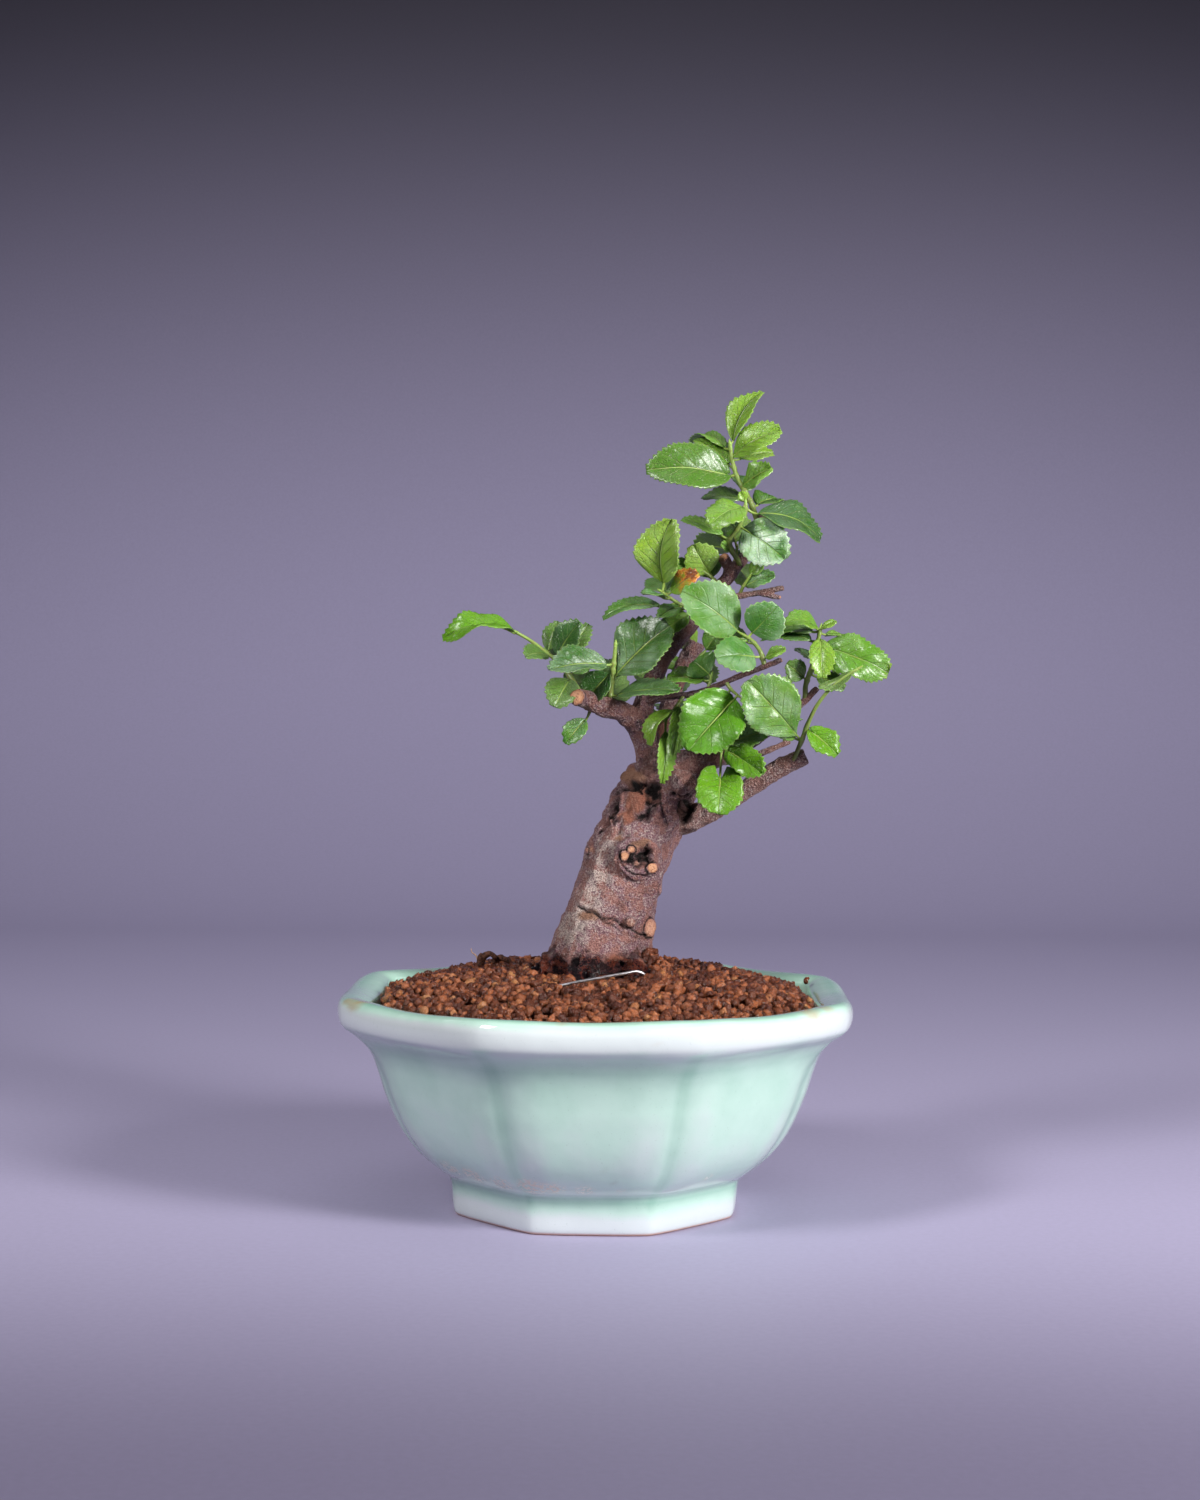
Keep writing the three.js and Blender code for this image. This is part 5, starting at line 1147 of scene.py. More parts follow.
        leaf(0.6, (-12.4, -1, 178.6), 6, (-0.2, -0.9, 0.3), "olive", petiole=1),
        leaf(0.35, (-3, -2, 177.6), 7, (0, -0.9, 0.4), "olive"),
        leaf(0.3, (-12, 9, 173), 10, (-0.1, 0.5, 0.8), "mid", bend=0.1),
        leaf(0.18, (-13, -16, 152.4), 10.4, (-0.1, -0.9, 0.3), "olive", petiole=1),
        leaf(0.2, (-3.8, -2, 166), 6, (0, -0.9, 0.4), "mid", petiole=1.5),
    ]),
    ("shoot_back_stem", 0.7, [(21, 8, 146), (22, 17, 150.4), (24, 24, 157)], [
        leaf(1, (35, 31, 166), 13, (0.2, 0.6, 0.7), "mid", bend=0.1),
        leaf(0.9, (11, 31, 163), 13, (-0.3, 0.7, 0.6), "bright", 16, 0.08),
        leaf(0.7, (25, 40, 148), 12, (0, 0.7, 0.7), "mid", bend=0.14),
        leaf(0.6, (38, 25, 149), 10, (0.3, 0.6, 0.6), "dark"),
        leaf(0.5, (8, 24, 148), 10, (-0.3, 0.7, 0.6), "mid"),
    ]),
    ("shoot_back_right", 0.65, [(57.4, 3, 142), (58, 10, 147), (57, 15, 152)], [
        leaf(1, (63, 22, 163), 11, (0.3, 0.5, 0.8), "bright", bend=0.12),
        leaf(0.9, (48, 26, 160), 12, (-0.2, 0.7, 0.7), "mid", 16),
        leaf(0.7, (60, 25, 149), 9, (0.4, 0.5, 0.7), "mid"),
        leaf(0.5, (46, 17, 148), 9, (0, 0.8, 0.6), "dark"),
    ]),
    ("shoot_back_left", 0.65, [(12.6, -2, 142), (8, 4.6, 148), (3.6, 9, 154)], [
        leaf(1, (-11, 12, 162), 12, (-0.3, 0.5, 0.8), "mid", bend=0.1),
        leaf(0.9, (5, 22, 166), 12, (0, 0.8, 0.5), "dark", 16),
        leaf(0.7, (-1, 21, 152), 9, (-0.3, 0.7, 0.6), "mid"),
    ]),
    ("shoot_back_top", 0.65, [(39.6, -1.4, 193), (41.6, 5.4, 197.4), (42.6, 10, 202)], [
        leaf(1, (40, 16, 214.4), 12, (0, 0.8, 0.5), "bright", 16),
        leaf(0.9, (30, 20, 202), 12, (-0.3, 0.7, 0.6), "mid", bend=0.12),
        leaf(0.7, (54, 18, 204), 12, (0.3, 0.6, 0.7), "mid", bend=0.12),
        leaf(0.5, (48, 15, 190), 10, (0.2, 0.8, 0.5), "dark"),
    ]),
]

# Places across half a blade, from the midrib to the margin
HALF_COLUMNS = [0.0, 0.05, 0.12, 0.26, 0.44, 0.62, 0.8, 0.93, 1.0]
SIDE_VEINS = 5.5


def blade(spec, look, phase):
    """One toothed blade with a sunk midrib and puckered fields between its side veins: a closed thin body."""
    size, width = spec["size"], spec["width"]
    tooth = look.tooth_pitch / MM
    rows = 2 * max(6, int(size / tooth))
    even = np.linspace(0.004, 0.996, rows + 1)
    share = 0.55 * even + 0.45 * (1 - np.cos(math.pi * even)) / 2
    s = np.array([-v for v in HALF_COLUMNS[:0:-1]] + HALF_COLUMNS)
    t, s = np.meshgrid(share, s, indexing="ij")
    swept = t ** spec["skew"]
    half = width / 2 * np.sin(math.pi * swept) ** np.where(swept < 0.5, spec["base"], spec["rounding"])
    edge = smooth(0.86, 1.0, np.abs(s))
    peak = (np.arange(rows + 1) % 2)[:, None] * smooth(0.06, 0.2, t) * edge
    depth = look.tooth_depth / MM * min(1, size / 14)
    y = s * half + np.sign(s) * peak * depth
    x = size * t + peak * depth * 0.9
    x = x - spec["notch"] * 0.16 * size * np.abs(s) ** 1.6 * (1 - smooth(0.0, 0.5, t))
    fold = math.radians(spec["fold"])
    soft = np.sqrt(y * y + 0.3) - math.sqrt(0.3)
    z = 4 * spec["bend"] * size * t * (1 - t) + soft * math.sin(fold)
    z = z + spec["curl"] * width * (s * s) * np.sin(math.pi * t)
    z = z + spec["wave"] * width * np.sin(2 * math.pi * (1.7 * t + phase) + 2.2 * np.sign(s)) * s * s * 0.6
    # Fields between the side veins swell, and the midrib lies in a groove
    vein = (t - 0.36 * np.abs(s) ** 0.9) * SIDE_VEINS + 0.25 * np.sign(s)
    z = z + spec["pucker"] * np.abs(np.sin(math.pi * vein)) * smooth(0.05, 0.3, np.abs(s)) * (1 - edge)
    spots = np.stack([x.ravel(), y.ravel(), np.full(x.size, 50 * phase)], -1)
    z = z + 2.4 * spec["pucker"] * (layered(spots, 5, 81, 2).reshape(x.shape) - 0.5)
    z = z - 0.3 * np.exp(-(s / 0.05) ** 2) * (1 - 0.6 * t)
    y = y * math.cos(fold) + spec["sweep"] * size * 4 * t * (1 - t)
    turn = math.radians(spec["twist"]) * (t - 0.5)
    y, z = y * np.cos(turn) - z * np.sin(turn), y * np.sin(turn) + z * np.cos(turn)
    thick = BLADE_THICKNESS * (1 - 0.5 * edge)
    return t, s, x, y, z, thick


def add_leaf(parts, spine, spec, look, random):
    """Adds a blade and its stalk to a shoot."""
    root = spine.at(spec["at"])
    length = np.subtract(spec["tip"], root)
    reach = np.linalg.norm(length)
    length = length / reach
    normal = np.asarray(spec["face"], float)
    normal = unit(normal - length * normal.dot(length))
    across = np.cross(length, normal)
    spec = dict(spec, size=reach - spec["petiole"])
    phase = random.uniform(0, 1)
    t, s, x, y, z, thick = blade(spec, look, phase)
    rows, columns = t.shape
    start = root + length * spec["petiole"]

    def grid(offset):
        flat = start + length * x[..., None] + across * y[..., None]
        return (flat + normal * (z + offset)[..., None]).reshape(-1, 3)

    top, bottom = grid(thick / 2), grid(-thick / 2)
    vertices = np.concatenate([top, bottom])
    base = rows * columns
    faces = []
    for i in range(rows - 1):
        for j in range(columns - 1):
            a, b = i * columns + j, i * columns + j + 1
            c, d = a + columns, b + columns
            faces.append((a, b, d, c))
            faces.append((base + a, base + c, base + d, base + b))
    rim = [i * columns for i in range(rows)] + [base - columns + j for j in range(1, columns)]
    rim += [i * columns + columns - 1 for i in range(rows - 2, -1, -1)] + list(range(columns - 2, 0, -1))
    for a, b in zip(rim, rim[1:] + rim[:1]):
        faces.append((a, b, base + b, base + a))
    young, dark, olive, hurt, vein, sap, bloom = TONES[spec["tone"]]
    under = np.concatenate([np.zeros(base), np.ones(base)])
    parts.add(
        vertices, faces, 0, blade_t=np.tile(t.ravel(), 2), blade_s=np.tile(np.abs(s).ravel(), 2),
        blade_under=under,
        blade_young=young, blade_dark=dark, blade_olive=olive, blade_hurt=hurt,
        blade_vein=vein, blade_sap=sap,
        blade_bloom=bloom, blade_tone=random.uniform(0, 1))
    # The stalk runs on under the blade as its raised midrib
    shares = [0, 0.1, 0.3, 0.55, 0.85]
    rises = [4 * spec["bend"] * spec["size"] * v * (1 - v) - 0.24 for v in shares]
    ridge = [start + length * (spec["size"] * v) + normal * rise for v, rise in zip(shares, rises)]
    path = [root, root + length * spec["petiole"] * 0.5 - normal * 0.12 * spec["petiole"]] + ridge
    stalk = STALK_RADIUS * min(1, 0.55 + spec["size"] / 30)
    stalk_radii = [stalk * 1.25, stalk, stalk, stalk * 0.8, 0.26, 0.2, 0.1]
    stalk_vertices, stalk_faces, _ = tube(path, stalk_radii, 6, 14)
    parts.add(stalk_vertices, stalk_faces, 1, stem_young=0.75)


def shoot_piece(name, radius, stem, leaves, materials, look, seed):
    """A green stem, swollen at its nodes, with its leaves and end bud."""
    random = np.random.default_rng(seed)
    spine = Spline(stem)
    parts = Parts()
    nodes = np.array([spec["at"] for spec in leaves])

    def relief(angle, share):
        swell = np.exp(-((share[..., None] - nodes) / 0.03) ** 2).max(-1)
        return 1 + 0.28 * swell + 0.05 * np.sin(3 * angle + 40 * share)

    steps = 12 * len(stem)
    vertices, faces, share = tube(stem, [radius * 1.12, radius * 0.95, radius * 0.8, radius * 0.62],
                                  12, steps, relief)
    parts.add(vertices, faces, 1, stem_young=np.clip(share * 0.8, 0, 1))
    end = spine.at(1)
    onward = unit(end - spine.at(0.97))
    bud = [end - onward * 0.4, end + onward * 0.7, end + onward * 1.9]
    vertices, faces, _ = tube(bud, [radius * 0.6, radius * 0.62, 0.08], 8, 6)
    parts.add(vertices, faces, 1, stem_young=1.0)
    for spec in leaves:
        add_leaf(parts, spine, spec, look, random)
    return parts.piece(name + "_leaves", materials, "leaf", [name])


def leaf_material(look):
    """A living leaf: glossy above, with pale sunk veins, dried water spots and painted sheen in pale whitish
    green; dull and paler below.
    """
    made, tree, shader = material("leaf_with_painted_sheen", roughness=0.4, ior=1.45, subsurface_weight=0.2,
                                  coat_weight=0.3,
                                  coat_roughness=0.24)
    shader.inputs["Subsurface Radius"].default_value = (0.4, 0.9, 0.12)
    shader.inputs["Subsurface Scale"].default_value = 0.0012
    place = add(tree, "TexCoord", out="Object")
    value = {key: add(tree, "Attribute", attribute_name="blade_" + key, out="Fac")
             for key in ("t", "s", "under", "young", "dark", "olive", "hurt", "vein", "sap", "bloom", "tone")}
    # Blotches 4 mm across
    cloud = add(tree, "TexNoise", {"Vector": place, "Scale": 240, "Detail": 2})
    drift = remap(tree, cloud, 0.3, 0.7, -0.14, 0.14)
    lift = remap(tree, value["tone"], 0, 1, -0.1, 0.12)
    youth = calc(tree, "ADD", value["young"], drift, use_clamp=True)
    youth = calc(tree, "ADD", youth, lift, use_clamp=True)
    colour = mix(tree, youth, look.mature_colour, look.young_colour)
    shade = calc(tree, "ADD", value["dark"], drift, use_clamp=True)
    colour = mix(tree, shade, colour, look.dark_colour)
    colour = mix(tree, value["olive"], colour, look.olive_colour)
    colour = mix(tree, value["sap"], colour, look.sap_colour)
    # Side veins: five or six pairs that leave the midrib and curve towards the tip
    lean = calc(tree, "POWER", value["s"], 0.9)
    place_on_vein = calc(tree, "MULTIPLY_ADD", lean, -0.36, value["t"])
    counted = calc(tree, "MULTIPLY", place_on_vein, SIDE_VEINS)
    saw = calc(tree, "PINGPONG", counted, 0.5)
    side_vein = remap(tree, saw, 0.08, 0.0, 0, 0.75)
    fade = remap(tree, value["s"], 0.92, 0.3)
    side_vein = calc(tree, "MULTIPLY", side_vein, fade)
    midrib = remap(tree, value["s"], 0.055, 0.02)
    veins = calc(tree, "MAXIMUM", side_vein, midrib)
    # The net of small veins, 1 mm across
    net = add(tree, "TexVoronoi", {"Vector": place, "Scale": 950}, feature="DISTANCE_TO_EDGE")
    fine = remap(tree, net, 0.09, 0.02, 0, 0.22)
    all_veins = calc(tree, "MAXIMUM", veins, fine)
    shown = calc(tree, "MULTIPLY", all_veins, value["vein"])
    colour = mix(tree, shown, colour, look.vein_colour)
    margin = remap(tree, value["s"], 0.93, 1.0, 0, 0.4)
    colour = mix(tree, margin, colour, look.vein_colour)
    # Painted sheen: pale whitish green in clouds 8 mm across, thickest between the veins, standing in for
    # glossy highlights
    painted_sheen_cloud = add(tree, "TexNoise", {"Vector": place, "Scale": 130, "Detail": 3})
    painted_sheen_cloud = remap(tree, painted_sheen_cloud, 0.4, 0.66, 0.04, 0.75)
    bare = remap(tree, all_veins, 0, 0.6, 1, 0.25)
    painted_sheen_cloud = calc(tree, "MULTIPLY", painted_sheen_cloud, bare)
    painted_sheen_cloud = calc(tree, "MULTIPLY", painted_sheen_cloud, value["bloom"])
    colour = mix(tree, painted_sheen_cloud, colour, look.painted_sheen_colour)
    # Scorch: yellow flesh with orange and brown patches 2.4 mm across
    burn = add(tree, "TexNoise", {"Vector": place, "Scale": 420, "Detail": 3})
    scorch = add(tree, "ValToRGB", {"Fac": burn}, stops=[(0.42, linear("9a9a2c")), (0.52, linear("cf8632")),
                                                        (0.62, linear("8f4e26"))])
    hurt_at = calc(tree, "MULTIPLY", value["t"], value["hurt"])
    hurt_mask = remap(tree, hurt_at, 0.24, 0.4)
    colour = mix(tree, hurt_mask, colour, scorch)
    dull = remap(tree, value["under"], 0, 1, 0, 0.75)
    colour = mix(tree, dull, colour, look.under_colour)
    # Dried water spots, 0.7 mm across, in patches 7 mm across
    spots = add(tree, "TexNoise", {"Vector": place, "Scale": 1500, "Detail": 2, "Roughness": 0.6})
    field = add(tree, "TexNoise", {"Vector": place, "Scale": 150, "Detail": 1})
    field = remap(tree, field, 0.48, 0.62, 0, 0.1)
    spots = calc(tree, "ADD", spots, field)
    spots = remap(tree, spots, 0.72, 0.8, 0, 0.5)
    colour = mix(tree, spots, colour, linear("cfd8c4"))
    tree.links.new(colour, shader.inputs["Base Color"])
    gloss = remap(tree, value["under"], 0, 1, 0.3, 0.52)
    rough = calc(tree, "MULTIPLY_ADD", cloud, 0.16, gloss)
    tree.links.new(rough, shader.inputs["Roughness"])
    relief = calc(tree, "MULTIPLY_ADD", shown, -1.9, cloud)
    bump = add(tree, "Bump", {"Height": relief, "Strength": 0.8, "Distance": 0.0008})
    tree.links.new(bump, shader.inputs["Normal"])
    return made


def stem_material(look):
    """Green young stem: smooth and faintly shiny, turning brown with small corky spots where it is older."""
    made, tree, shader = material("green_stem", roughness=0.4, ior=1.45, subsurface_weight=0.1)
    shader.inputs["Subsurface Scale"].default_value = 0.001
    place = add(tree, "TexCoord", out="Object")
    young = add(tree, "Attribute", attribute_name="stem_young", out="Fac")
    # Corky spots 0.7 mm across
    cork = add(tree, "TexNoise", {"Vector": place, "Scale": 1400, "Detail": 3})
    colour = mix(tree, young, linear("66743a"), look.stem_colour)
    spots = remap(tree, cork, 0.56, 0.66, 0, 0.45)
    colour = mix(tree, spots, colour, linear("8a6f4c"))
    tree.links.new(colour, shader.inputs["Base Color"])
    bump = add(tree, "Bump", {"Height": cork, "Strength": 0.3, "Distance": 0.0003})
    tree.links.new(bump, shader.inputs["Normal"])
    return made


# Fallen bits on the soil and the rim

DEAD_ROOTS = [
    ([(-36.4, 20, 71), (-35.4, 19, 73.8), (-33.4, 18, 74.6), (-31, 18.4, 73)], [0.8, 1.2, 1.0, 0.5]),
    ([(-37, 19, 71), (-36.8, 18.4, 73.4), (-36.2, 18, 75)], [0.9, 0.8, 0.3]),
    ([(-33, 20, 71), (-31, 19.6, 73), (-28.6, 19.4, 72.8), (-26.6, 19.4, 71.4)], [1.1, 1.2, 0.9, 0.5]),
]
PALE_ROOT = ([(-37.4, 21, 71), (-38, 21, 73.6), (-39.4, 21, 74.8), (-39.6, 21, 76)], [0.3, 0.25, 0.2, 0.12])
LITTER_SEED = 5
# Place, radius and tone
LOOSE_GRANULES = [
    ((62.4, -31, 67.2), 1.0, 1.0), ((60.6, -38, 66.6), 0.7, 0.98), ((58.2, -32, 65.8), 1.1, 0.6),
    ((-55, -36, 66.4), 0.9, 0.2), ((66, 18, 67), 0.9, 0.5), ((-30, 61, 66.6), 1.0, 0.4),
    ((10, 66, 67), 0.8, 0.9),
]


def peat():
    """Dead root and peat, dried on: almost black, crumbling and dull."""
    made, tree, shader = material("dried_root", roughness=0.85, ior=1.45)
    place = add(tree, "TexCoord", out="Object")
    young = add(tree, "Attribute", attribute_name="root_pale", out="Fac")
    # Fibres 0.55 mm across
    fibre = add(tree, "TexNoise", {"Vector": place, "Scale": 1800, "Detail": 3})
    colour = add(tree, "ValToRGB", {"Fac": fibre}, stops=[(0.35, linear("21130f")), (0.6, linear("6a4230"))])
    colour = mix(tree, young, colour, linear("c9a58c"))
    tree.links.new(colour, shader.inputs["Base Color"])
    bump = add(tree, "Bump", {"Height": fibre, "Strength": 0.6, "Distance": 0.0006})
    tree.links.new(bump, shader.inputs["Normal"])
    return made


# Stage

SWEEP_START = 0.8
SWEEP_RADIUS = 0.5
SWEEP_HALF_WIDTH = 2.4
SWEEP_FRONT = -1.6
SWEEP_TOP = 2.4
CAMERA_DISTANCE = 0.684
EYE_HEIGHT = 0.1547
PIXELS_UP = 1500
FOCAL_PIXELS = 2237
HORIZON_FROM_MIDDLE = 50
CAMERA_ROLL = 0.007
CAMERA_AIM = 0.0006
SENSOR = 36.0
AIR_COLOUR = "8b86a8"
AIR_STRENGTH = 0.17
MIDDLE = (0.0, 0.0, 0.1)
# Name, place, aim, size, share of the key light's power and colour
LIGHTS = [
    ("right_key", (0.63, -0.56, 0.41), MIDDLE, (0.2, 0.3), 1.08, (1, 0.98, 0.97)),
    ("left_key", (-0.54, -0.6, 0.72), MIDDLE, (0.2, 0.3), 0.63, (1, 0.98, 0.97)),
    ("top_fill", (0.0, -0.1, 1.2), MIDDLE, (0.8, 0.8), 0.18, (0.96, 0.95, 1)),
    ("wall_glow", (0.0, 0.5, 0.9), (0, 1.2, 0.0), (1.6, 0.2), 0.2, (0.9, 0.88, 1)),
]


def painted_paper(look):
    """Background paper, matte: pale on the floor, with painted shade that darkens it up the wall, and darker
    towards the front edge of the floor.
    """
    made, tree, shader = material("paper_with_painted_shade", roughness=0.62, ior=1.45)
    place = add(tree, "TexCoord", out="Object")
    # Drawn coarser than paper's own tooth, 2 mm across, so that it shows at all
    tooth = add(tree, "TexNoise", {"Vector": place, "Scale": 500, "Detail": 3})
    shade = remap(tree, tooth, 0.3, 0.7, 0.97, 1.03)
    # Painted shade: the paper darkens up the wall towards the wall shade colour
    split = add(tree, "SeparateXYZ", {"Vector": place}, out="Z")
    rise = remap(tree, split, 0.12, 0.85, interpolation_type="SMOOTHSTEP")
    shaded_paper = mix(tree, rise, look.floor_colour, look.wall_shade_colour)
    along = add(tree, "SeparateXYZ", {"Vector": place}, out="Y")
    near = remap(tree, along, 0.02, -0.26, interpolation_type="SMOOTHSTEP")
    shaded_paper = mix(tree, near, shaded_paper, look.front_colour)
    colour = mix(tree, 1.0, shaded_paper, shade, blend_type="MULTIPLY")
    tree.links.new(colour, shader.inputs["Base Color"])
    return made


def sweep_mesh():
    """Floor that curves up into a wall."""
    line = [(SWEEP_FRONT, 0.0), (0.0, 0.0)]
    for k in range(17):
        angle = k / 16 * math.pi / 2
        line.append((SWEEP_START + SWEEP_RADIUS * math.sin(angle), SWEEP_RADIUS * (1 - math.cos(angle))))
    line.append((SWEEP_START + SWEEP_RADIUS, SWEEP_TOP))
    vertices, faces = [], []
    for y, z in line:
        vertices += [(-SWEEP_HALF_WIDTH, y, z), (SWEEP_HALF_WIDTH, y, z)]
    for i in range(len(line) - 1):
        faces.append((2 * i, 2 * i + 1, 2 * i + 3, 2 * i + 2))
    return vertices, faces


def area_light(name, place, target, size, power, colour):
    """A soft box that looks at its target."""
    lamp = bpy.data.lights.new(name, "AREA")
    lamp.shape = "RECTANGLE"
    lamp.size, lamp.size_y = size
    lamp.energy = power
    lamp.color = colour
    light = bpy.data.objects.new(name, lamp)
    light.location = place
    light.rotation_euler = (Vector(target) - Vector(place)).to_track_quat("-Z", "Y").to_euler()
    bpy.context.scene.collection.objects.link(light)


# What a user may change

def colour_property(name, description, code):
    """A colour that the panel can change."""
    return FloatVectorProperty(name=name, description=description, default=linear(code), min=0, max=1, size=3,
                               subtype="COLOR")


class PotLook(bpy.types.PropertyGroup):
    rim_width: FloatProperty(name="Rim width", description="Across two opposite flats of the lip",
                             default=0.1532,
                             min=0.1, max=0.2, unit="LENGTH", subtype="DISTANCE")
    thin_colour: colour_property("Thin glaze", "Where the glaze ran thin over an edge", "cfd8d8")
    body_colour: colour_property("Glaze", "On the panels", "bcdacc")
    pooled_colour: colour_property("Pooled glaze", "In the flutes and under the lip", "7fb29b")
    foot_colour: colour_property("Bare foot", "Unglazed edge of the foot", "d8a58a")


class SoilLook(bpy.types.PropertyGroup):
    granule_size: FloatProperty(name="Granule size", description="Mean width of a granule", default=0.0024,
                                min=0.001, max=0.006, unit="LENGTH", subtype="DISTANCE")
    # The darkest clay colour is also painted shade on the lower layer and the filling, seen in the gaps
    dark_colour: colour_property("Darkest clay", "The darkest granules", "4a2110")
    body_colour: colour_property("Clay", "Most granules", "6e3a22")
    light_colour: colour_property("Dry clay", "The lightest granules", "a6623e")


class WireLook(bpy.types.PropertyGroup):
    diameter: FloatProperty(name="Diameter", description="Of the tie wire", default=0.00088,
                            min=0.0005, max=0.003,
                            unit="LENGTH", subtype="DISTANCE")
    colour: colour_property("Metal", "Bare aluminium", "d3d3d6")


class ScreenLook(bpy.types.PropertyGroup):
    colour: colour_property("Plastic", "Of the drainage screen", "15181a")


class BarkLook(bpy.types.PropertyGroup):
    body_colour: colour_property("Bark", "Most of the trunk", "cc8e86")
    purple_colour: colour_property("Purple bark", "Patches on the trunk", "ac7a8c")
    fleck_colour: colour_property("Flecks", "Raised scales", "f6e2d6")
    dark_colour: colour_property("Dark bark", "Furrows and twigs", "38201c")
    rust_colour: colour_property("Underbark", "Where bark came away", "b0705a")
    scar_colour: colour_property("Healed bark", "Torn and healed places", "b98a70")
    cut_colour: colour_property("Cut wood", "Pruned ends", "c9946e")


class LeafLook(bpy.types.PropertyGroup):
    tooth_pitch: FloatProperty(name="Tooth spacing", description="Along a leaf's margin", default=0.0014,
                               min=0.0005, max=0.003, unit="LENGTH", subtype="DISTANCE")
    tooth_depth: FloatProperty(name="Tooth depth", description="Of the teeth on a large leaf", default=0.0006,
                               min=0.0, max=0.001, unit="LENGTH", subtype="DISTANCE")
    mature_colour: colour_property("Grown leaf", "Upper face", "3a731a")
    young_colour: colour_property("Young leaf", "Upper face", "88ac28")
    dark_colour: colour_property("Old leaf", "Upper face", "234a18")
    olive_colour: colour_property("Dull leaf", "Upper face", "52742c")
    sap_colour: colour_property("Lush leaf", "Deep fresh green of the newest grown leaves", "528c06")
    # Painted sheen: pale whitish green laid on the upper face as highlight
    painted_sheen_colour: colour_property("Painted sheen", "Pale painted sheen on the upper face", "c2dabe")
    under_colour: colour_property("Underside", "Lower face", "73924a")
    vein_colour: colour_property("Veins", "Midrib and side veins", "9dba66")
    stem_colour: colour_property("Young stem", "Green shoots and stalks", "8fae4e")


class StageLook(bpy.types.PropertyGroup):
    floor_colour: colour_property("Floor paper", "Floor and foot of the wall", "aaa4c0")
    front_colour: colour_property("Front paper", "Front edge of the floor", "645f75")
    # Painted shade at the top of the wall
    wall_shade_colour: colour_property("Wall shade", "Top of the wall", "282531")
    key_power: FloatProperty(name="Key light", description="Power of each side light",
                             default=11, min=0, max=100,
                             unit="POWER")


# Operators

class BONSAI_OT_pot(bpy.types.Operator):
    """Builds the glazed eight-sided pot"""
    bl_idname = "bonsai.pot"
    bl_label = "Glazed pot"

    def execute(self, context):
        look = context.scene.bonsai_pot
        vertices, faces, values = pot_mesh(look.rim_width / MM / 2)
        make_piece("glazed_pot", vertices, faces, [celadon(look)], ["pot"], values)
        return {"FINISHED"}


class BONSAI_OT_soil(bpy.types.Operator):
    """Fills the pot with clay granules"""
    bl_idname = "bonsai.soil"
    bl_label = "Clay granules"

    def execute(self, context):
        look = context.scene.bonsai_soil
        baked = clay(look)
        random = np.random.default_rng(SOIL_SEED)
        size = look.granule_size / MM
        front, back, lower = Parts(), Parts(), Parts()
        centres, radii = spread_granules(UPPER_PITCH * size, size, random, UPPER_SINK)
        heaps, heap_radii = piled_granules(size, random)
        centres, radii = np.concatenate([centres, heaps]), np.concatenate([radii, heap_radii])
        for parts, chosen in ((front, centres[:, 1] < 0), (back, centres[:, 1] >= 0)):
            vertices, faces, tone = granules(centres[chosen], radii[chosen], random)
            parts.add(vertices, faces, 0, clay_tone=tone ** 1.3)
        # The lower layer and the filling under it take the darkest tones: painted shade in the gaps between
        # the upper granules
        centres, radii = spread_granules(LOWER_PITCH * size, size, random, LOWER_SINK)
        vertices, faces, tone = granules(centres, radii, random, 0)
        lower.add(vertices, faces, 0, clay_tone=0.3 * tone)
        vertices, faces = soil_plug()
        lower.add(vertices, faces, 0, clay_tone=0.0)
        front.piece("soil_front_granules", [baked], "baked_clay_granules", ["soil"])
        back.piece("soil_back_granules", [baked], "baked_clay_granules", ["soil"])
        lower.piece("soil_filling", [baked], "baked_clay_granules", ["soil"])
        return {"FINISHED"}


class BONSAI_OT_wire(bpy.types.Operator):
    """Lays the tie wire over the root flare"""
    bl_idname = "bonsai.wire"
    bl_label = "Tie wire"

    def execute(self, context):
        look = context.scene.bonsai_wire
        radius = look.diameter / MM / 2
        vertices, faces, _ = tube(WIRE_ROUTE, [radius, radius], WIRE_SIDES, WIRE_STEPS)
        make_piece("tie_wire_drawn", vertices, faces, [drawn_aluminium(look)], ["tie_wire"])
        return {"FINISHED"}


class BONSAI_OT_screen(bpy.types.Operator):
    """Gives the drainage screen its moulded plastic"""
    bl_idname = "bonsai.screen"
    bl_label = "Drainage screen"

    def execute(self, context):
        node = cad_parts["drainage_mesh"]
        node.data.materials.clear()
        node.data.materials.append(polyethylene(context.scene.bonsai_screen))
        return {"FINISHED"}


class BONSAI_OT_wood(bpy.types.Operator):
    """Grows the trunk, branches and scars as one skin of bark"""
    bl_idname = "bonsai.wood"
    bl_label = "Trunk and branches"

    def execute(self, context):
        vertices, faces, values = wood_mesh()
        if not faces:
            raise RuntimeError("the trunk's skin came out empty")
        make_piece("bark_skin", vertices, faces, [bark(context.scene.bonsai_bark)],
                   ["tree_wood"], values)
        return {"FINISHED"}


class BONSAI_OT_shoots(bpy.types.Operator):
    """Grows every green stem with its toothed leaves"""
    bl_idname = "bonsai.shoots"
    bl_label = "Leafy shoots"

    def execute(self, context):
        look = context.scene.bonsai_leaf
        materials = [leaf_material(look), stem_material(look)]
        for seed, (name, radius, stem, leaves) in enumerate(SHOOTS):
            shoot_piece(name, radius, stem, leaves, materials, look, seed)
        return {"FINISHED"}


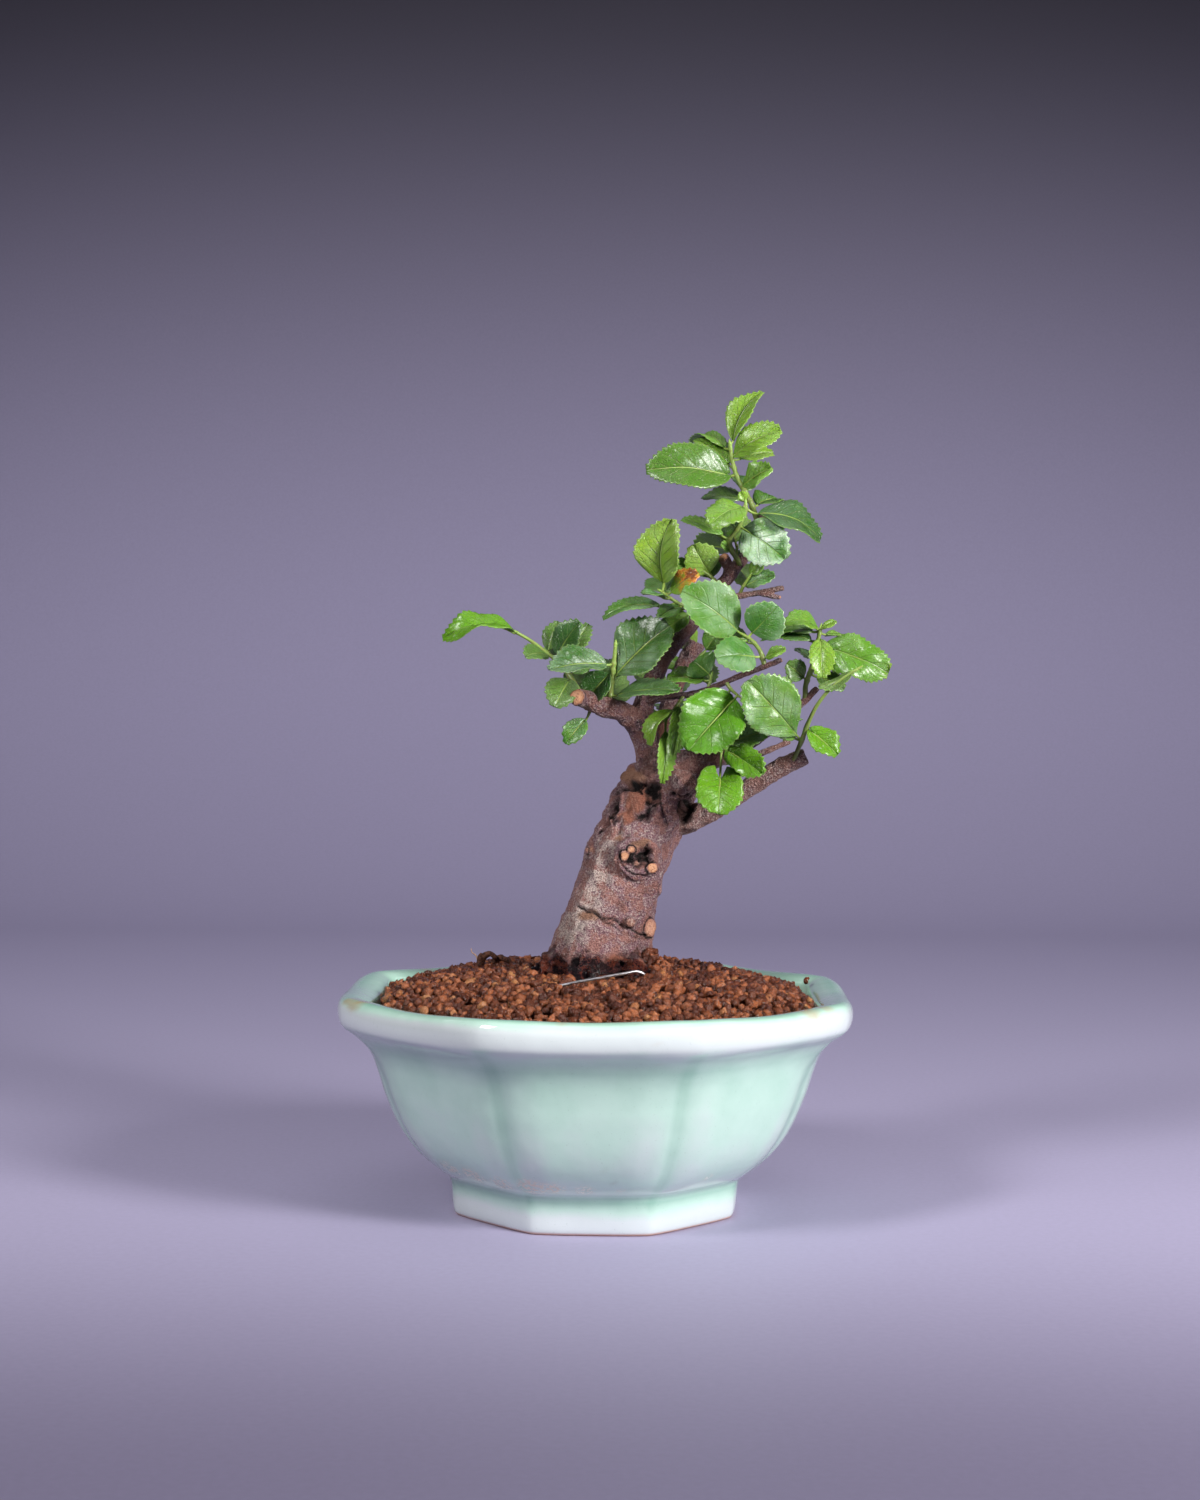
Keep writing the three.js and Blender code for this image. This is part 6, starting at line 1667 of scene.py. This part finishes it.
class BONSAI_OT_litter(bpy.types.Operator):
    """Scatters dead roots on the soil and loose granules on the rim"""
    bl_idname = "bonsai.litter"
    bl_label = "Fallen bits"

    def execute(self, context):
        random = np.random.default_rng(LITTER_SEED)
        roots = Parts()
        for points, radii in DEAD_ROOTS:
            vertices, faces, _ = tube(points, radii, 8, 14)
            vertices = vertices + 0.5 * (noise(vertices, 1.2, 3)[:, None] - 0.5)
            roots.add(vertices, faces, 0, root_pale=0.0)
        vertices, faces, _ = tube(*PALE_ROOT, 6, 12)
        roots.add(vertices, faces, 0, root_pale=1.0)
        roots.piece("dead_roots", [peat()], "bark")
        centres = np.array([place for place, _, _ in LOOSE_GRANULES])
        radii = np.array([radius for _, radius, _ in LOOSE_GRANULES])
        vertices, faces, _ = granules(centres, radii, random)
        tone = np.repeat([tone for _, _, tone in LOOSE_GRANULES], len(vertices) // len(LOOSE_GRANULES))
        loose = Parts()
        loose.add(vertices, faces, 0, clay_tone=tone)
        loose.piece("loose_granules", [bpy.data.materials["moist_baked_clay"]], "baked_clay_granules")
        return {"FINISHED"}


class BONSAI_OT_stage(bpy.types.Operator):
    """Sets the paper sweep, the lights and the camera"""
    bl_idname = "bonsai.stage"
    bl_label = "Stage"

    def execute(self, context):
        look = context.scene.bonsai_stage
        scene = context.scene
        vertices, faces = sweep_mesh()
        mesh = bpy.data.meshes.new("paper_sweep")
        mesh.from_pydata(vertices, [], faces)
        mesh.materials.append(painted_paper(look))
        mesh.polygons.foreach_set("use_smooth", [True] * len(mesh.polygons))
        floor = bpy.data.objects.new("paper_sweep", mesh)
        scene.collection.objects.link(floor)
        for name, place, aim, size, share, colour in LIGHTS:
            area_light(name, place, aim, size, share * look.key_power, colour)
        world = bpy.data.worlds.new("studio_air")
        world.use_nodes = True
        background = world.node_tree.nodes["Background"]
        background.inputs["Color"].default_value = (*linear(AIR_COLOUR), 1)
        background.inputs["Strength"].default_value = AIR_STRENGTH
        scene.world = world
        scene.view_settings.view_transform = "Standard"
        camera_data = bpy.data.cameras.new("camera")
        camera_data.sensor_fit = "VERTICAL"
        camera_data.sensor_height = SENSOR
        camera_data.lens = SENSOR * FOCAL_PIXELS / PIXELS_UP
        camera_data.clip_start = 0.01
        camera = bpy.data.objects.new("camera", camera_data)
        pitch = math.atan(HORIZON_FROM_MIDDLE / FOCAL_PIXELS)
        yaw = CAMERA_AIM / CAMERA_DISTANCE
        place = Matrix.Translation((ORIGIN_SHIFT[0] * MM, -CAMERA_DISTANCE, EYE_HEIGHT))
        turn = Matrix.Rotation(-yaw, 4, "Z") @ Matrix.Rotation(math.pi / 2 - pitch, 4, "X")
        camera.matrix_world = place @ turn @ Matrix.Rotation(CAMERA_ROLL, 4, "Z")
        scene.collection.objects.link(camera)
        scene.camera = camera
        return {"FINISHED"}


OPERATORS = [BONSAI_OT_stage, BONSAI_OT_pot, BONSAI_OT_screen, BONSAI_OT_soil, BONSAI_OT_wire, BONSAI_OT_wood,
             BONSAI_OT_shoots, BONSAI_OT_litter]
LOOKS = {"bonsai_pot": PotLook, "bonsai_soil": SoilLook, "bonsai_wire": WireLook, "bonsai_screen": ScreenLook,
         "bonsai_bark": BarkLook, "bonsai_leaf": LeafLook, "bonsai_stage": StageLook}


class BONSAI_PT_sidebar(bpy.types.Panel):
    """Lists the bonsai's operators and looks"""
    bl_label = "Bonsai"
    bl_space_type = "VIEW_3D"
    bl_region_type = "UI"
    bl_category = "Bonsai"

    def draw(self, context):
        for operator in OPERATORS:
            self.layout.operator(operator.bl_idname)
        for name in LOOKS:
            look = getattr(context.scene, name)
            box = self.layout.box()
            for key in look.__annotations__:
                box.prop(look, key)


def register():
    for kind in [*LOOKS.values(), *OPERATORS, BONSAI_PT_sidebar]:
        bpy.utils.register_class(kind)
    for name, kind in LOOKS.items():
        setattr(bpy.types.Scene, name, PointerProperty(type=kind))


def unregister():
    for name in LOOKS:
        delattr(bpy.types.Scene, name)
    for kind in [BONSAI_PT_sidebar, *OPERATORS[::-1], *list(LOOKS.values())[::-1]]:
        bpy.utils.unregister_class(kind)


def main():
    register()
    for operator in OPERATORS:
        group, name = operator.bl_idname.split(".")
        getattr(getattr(bpy.ops, group), name)()


if __name__ == "__main__":
    main()
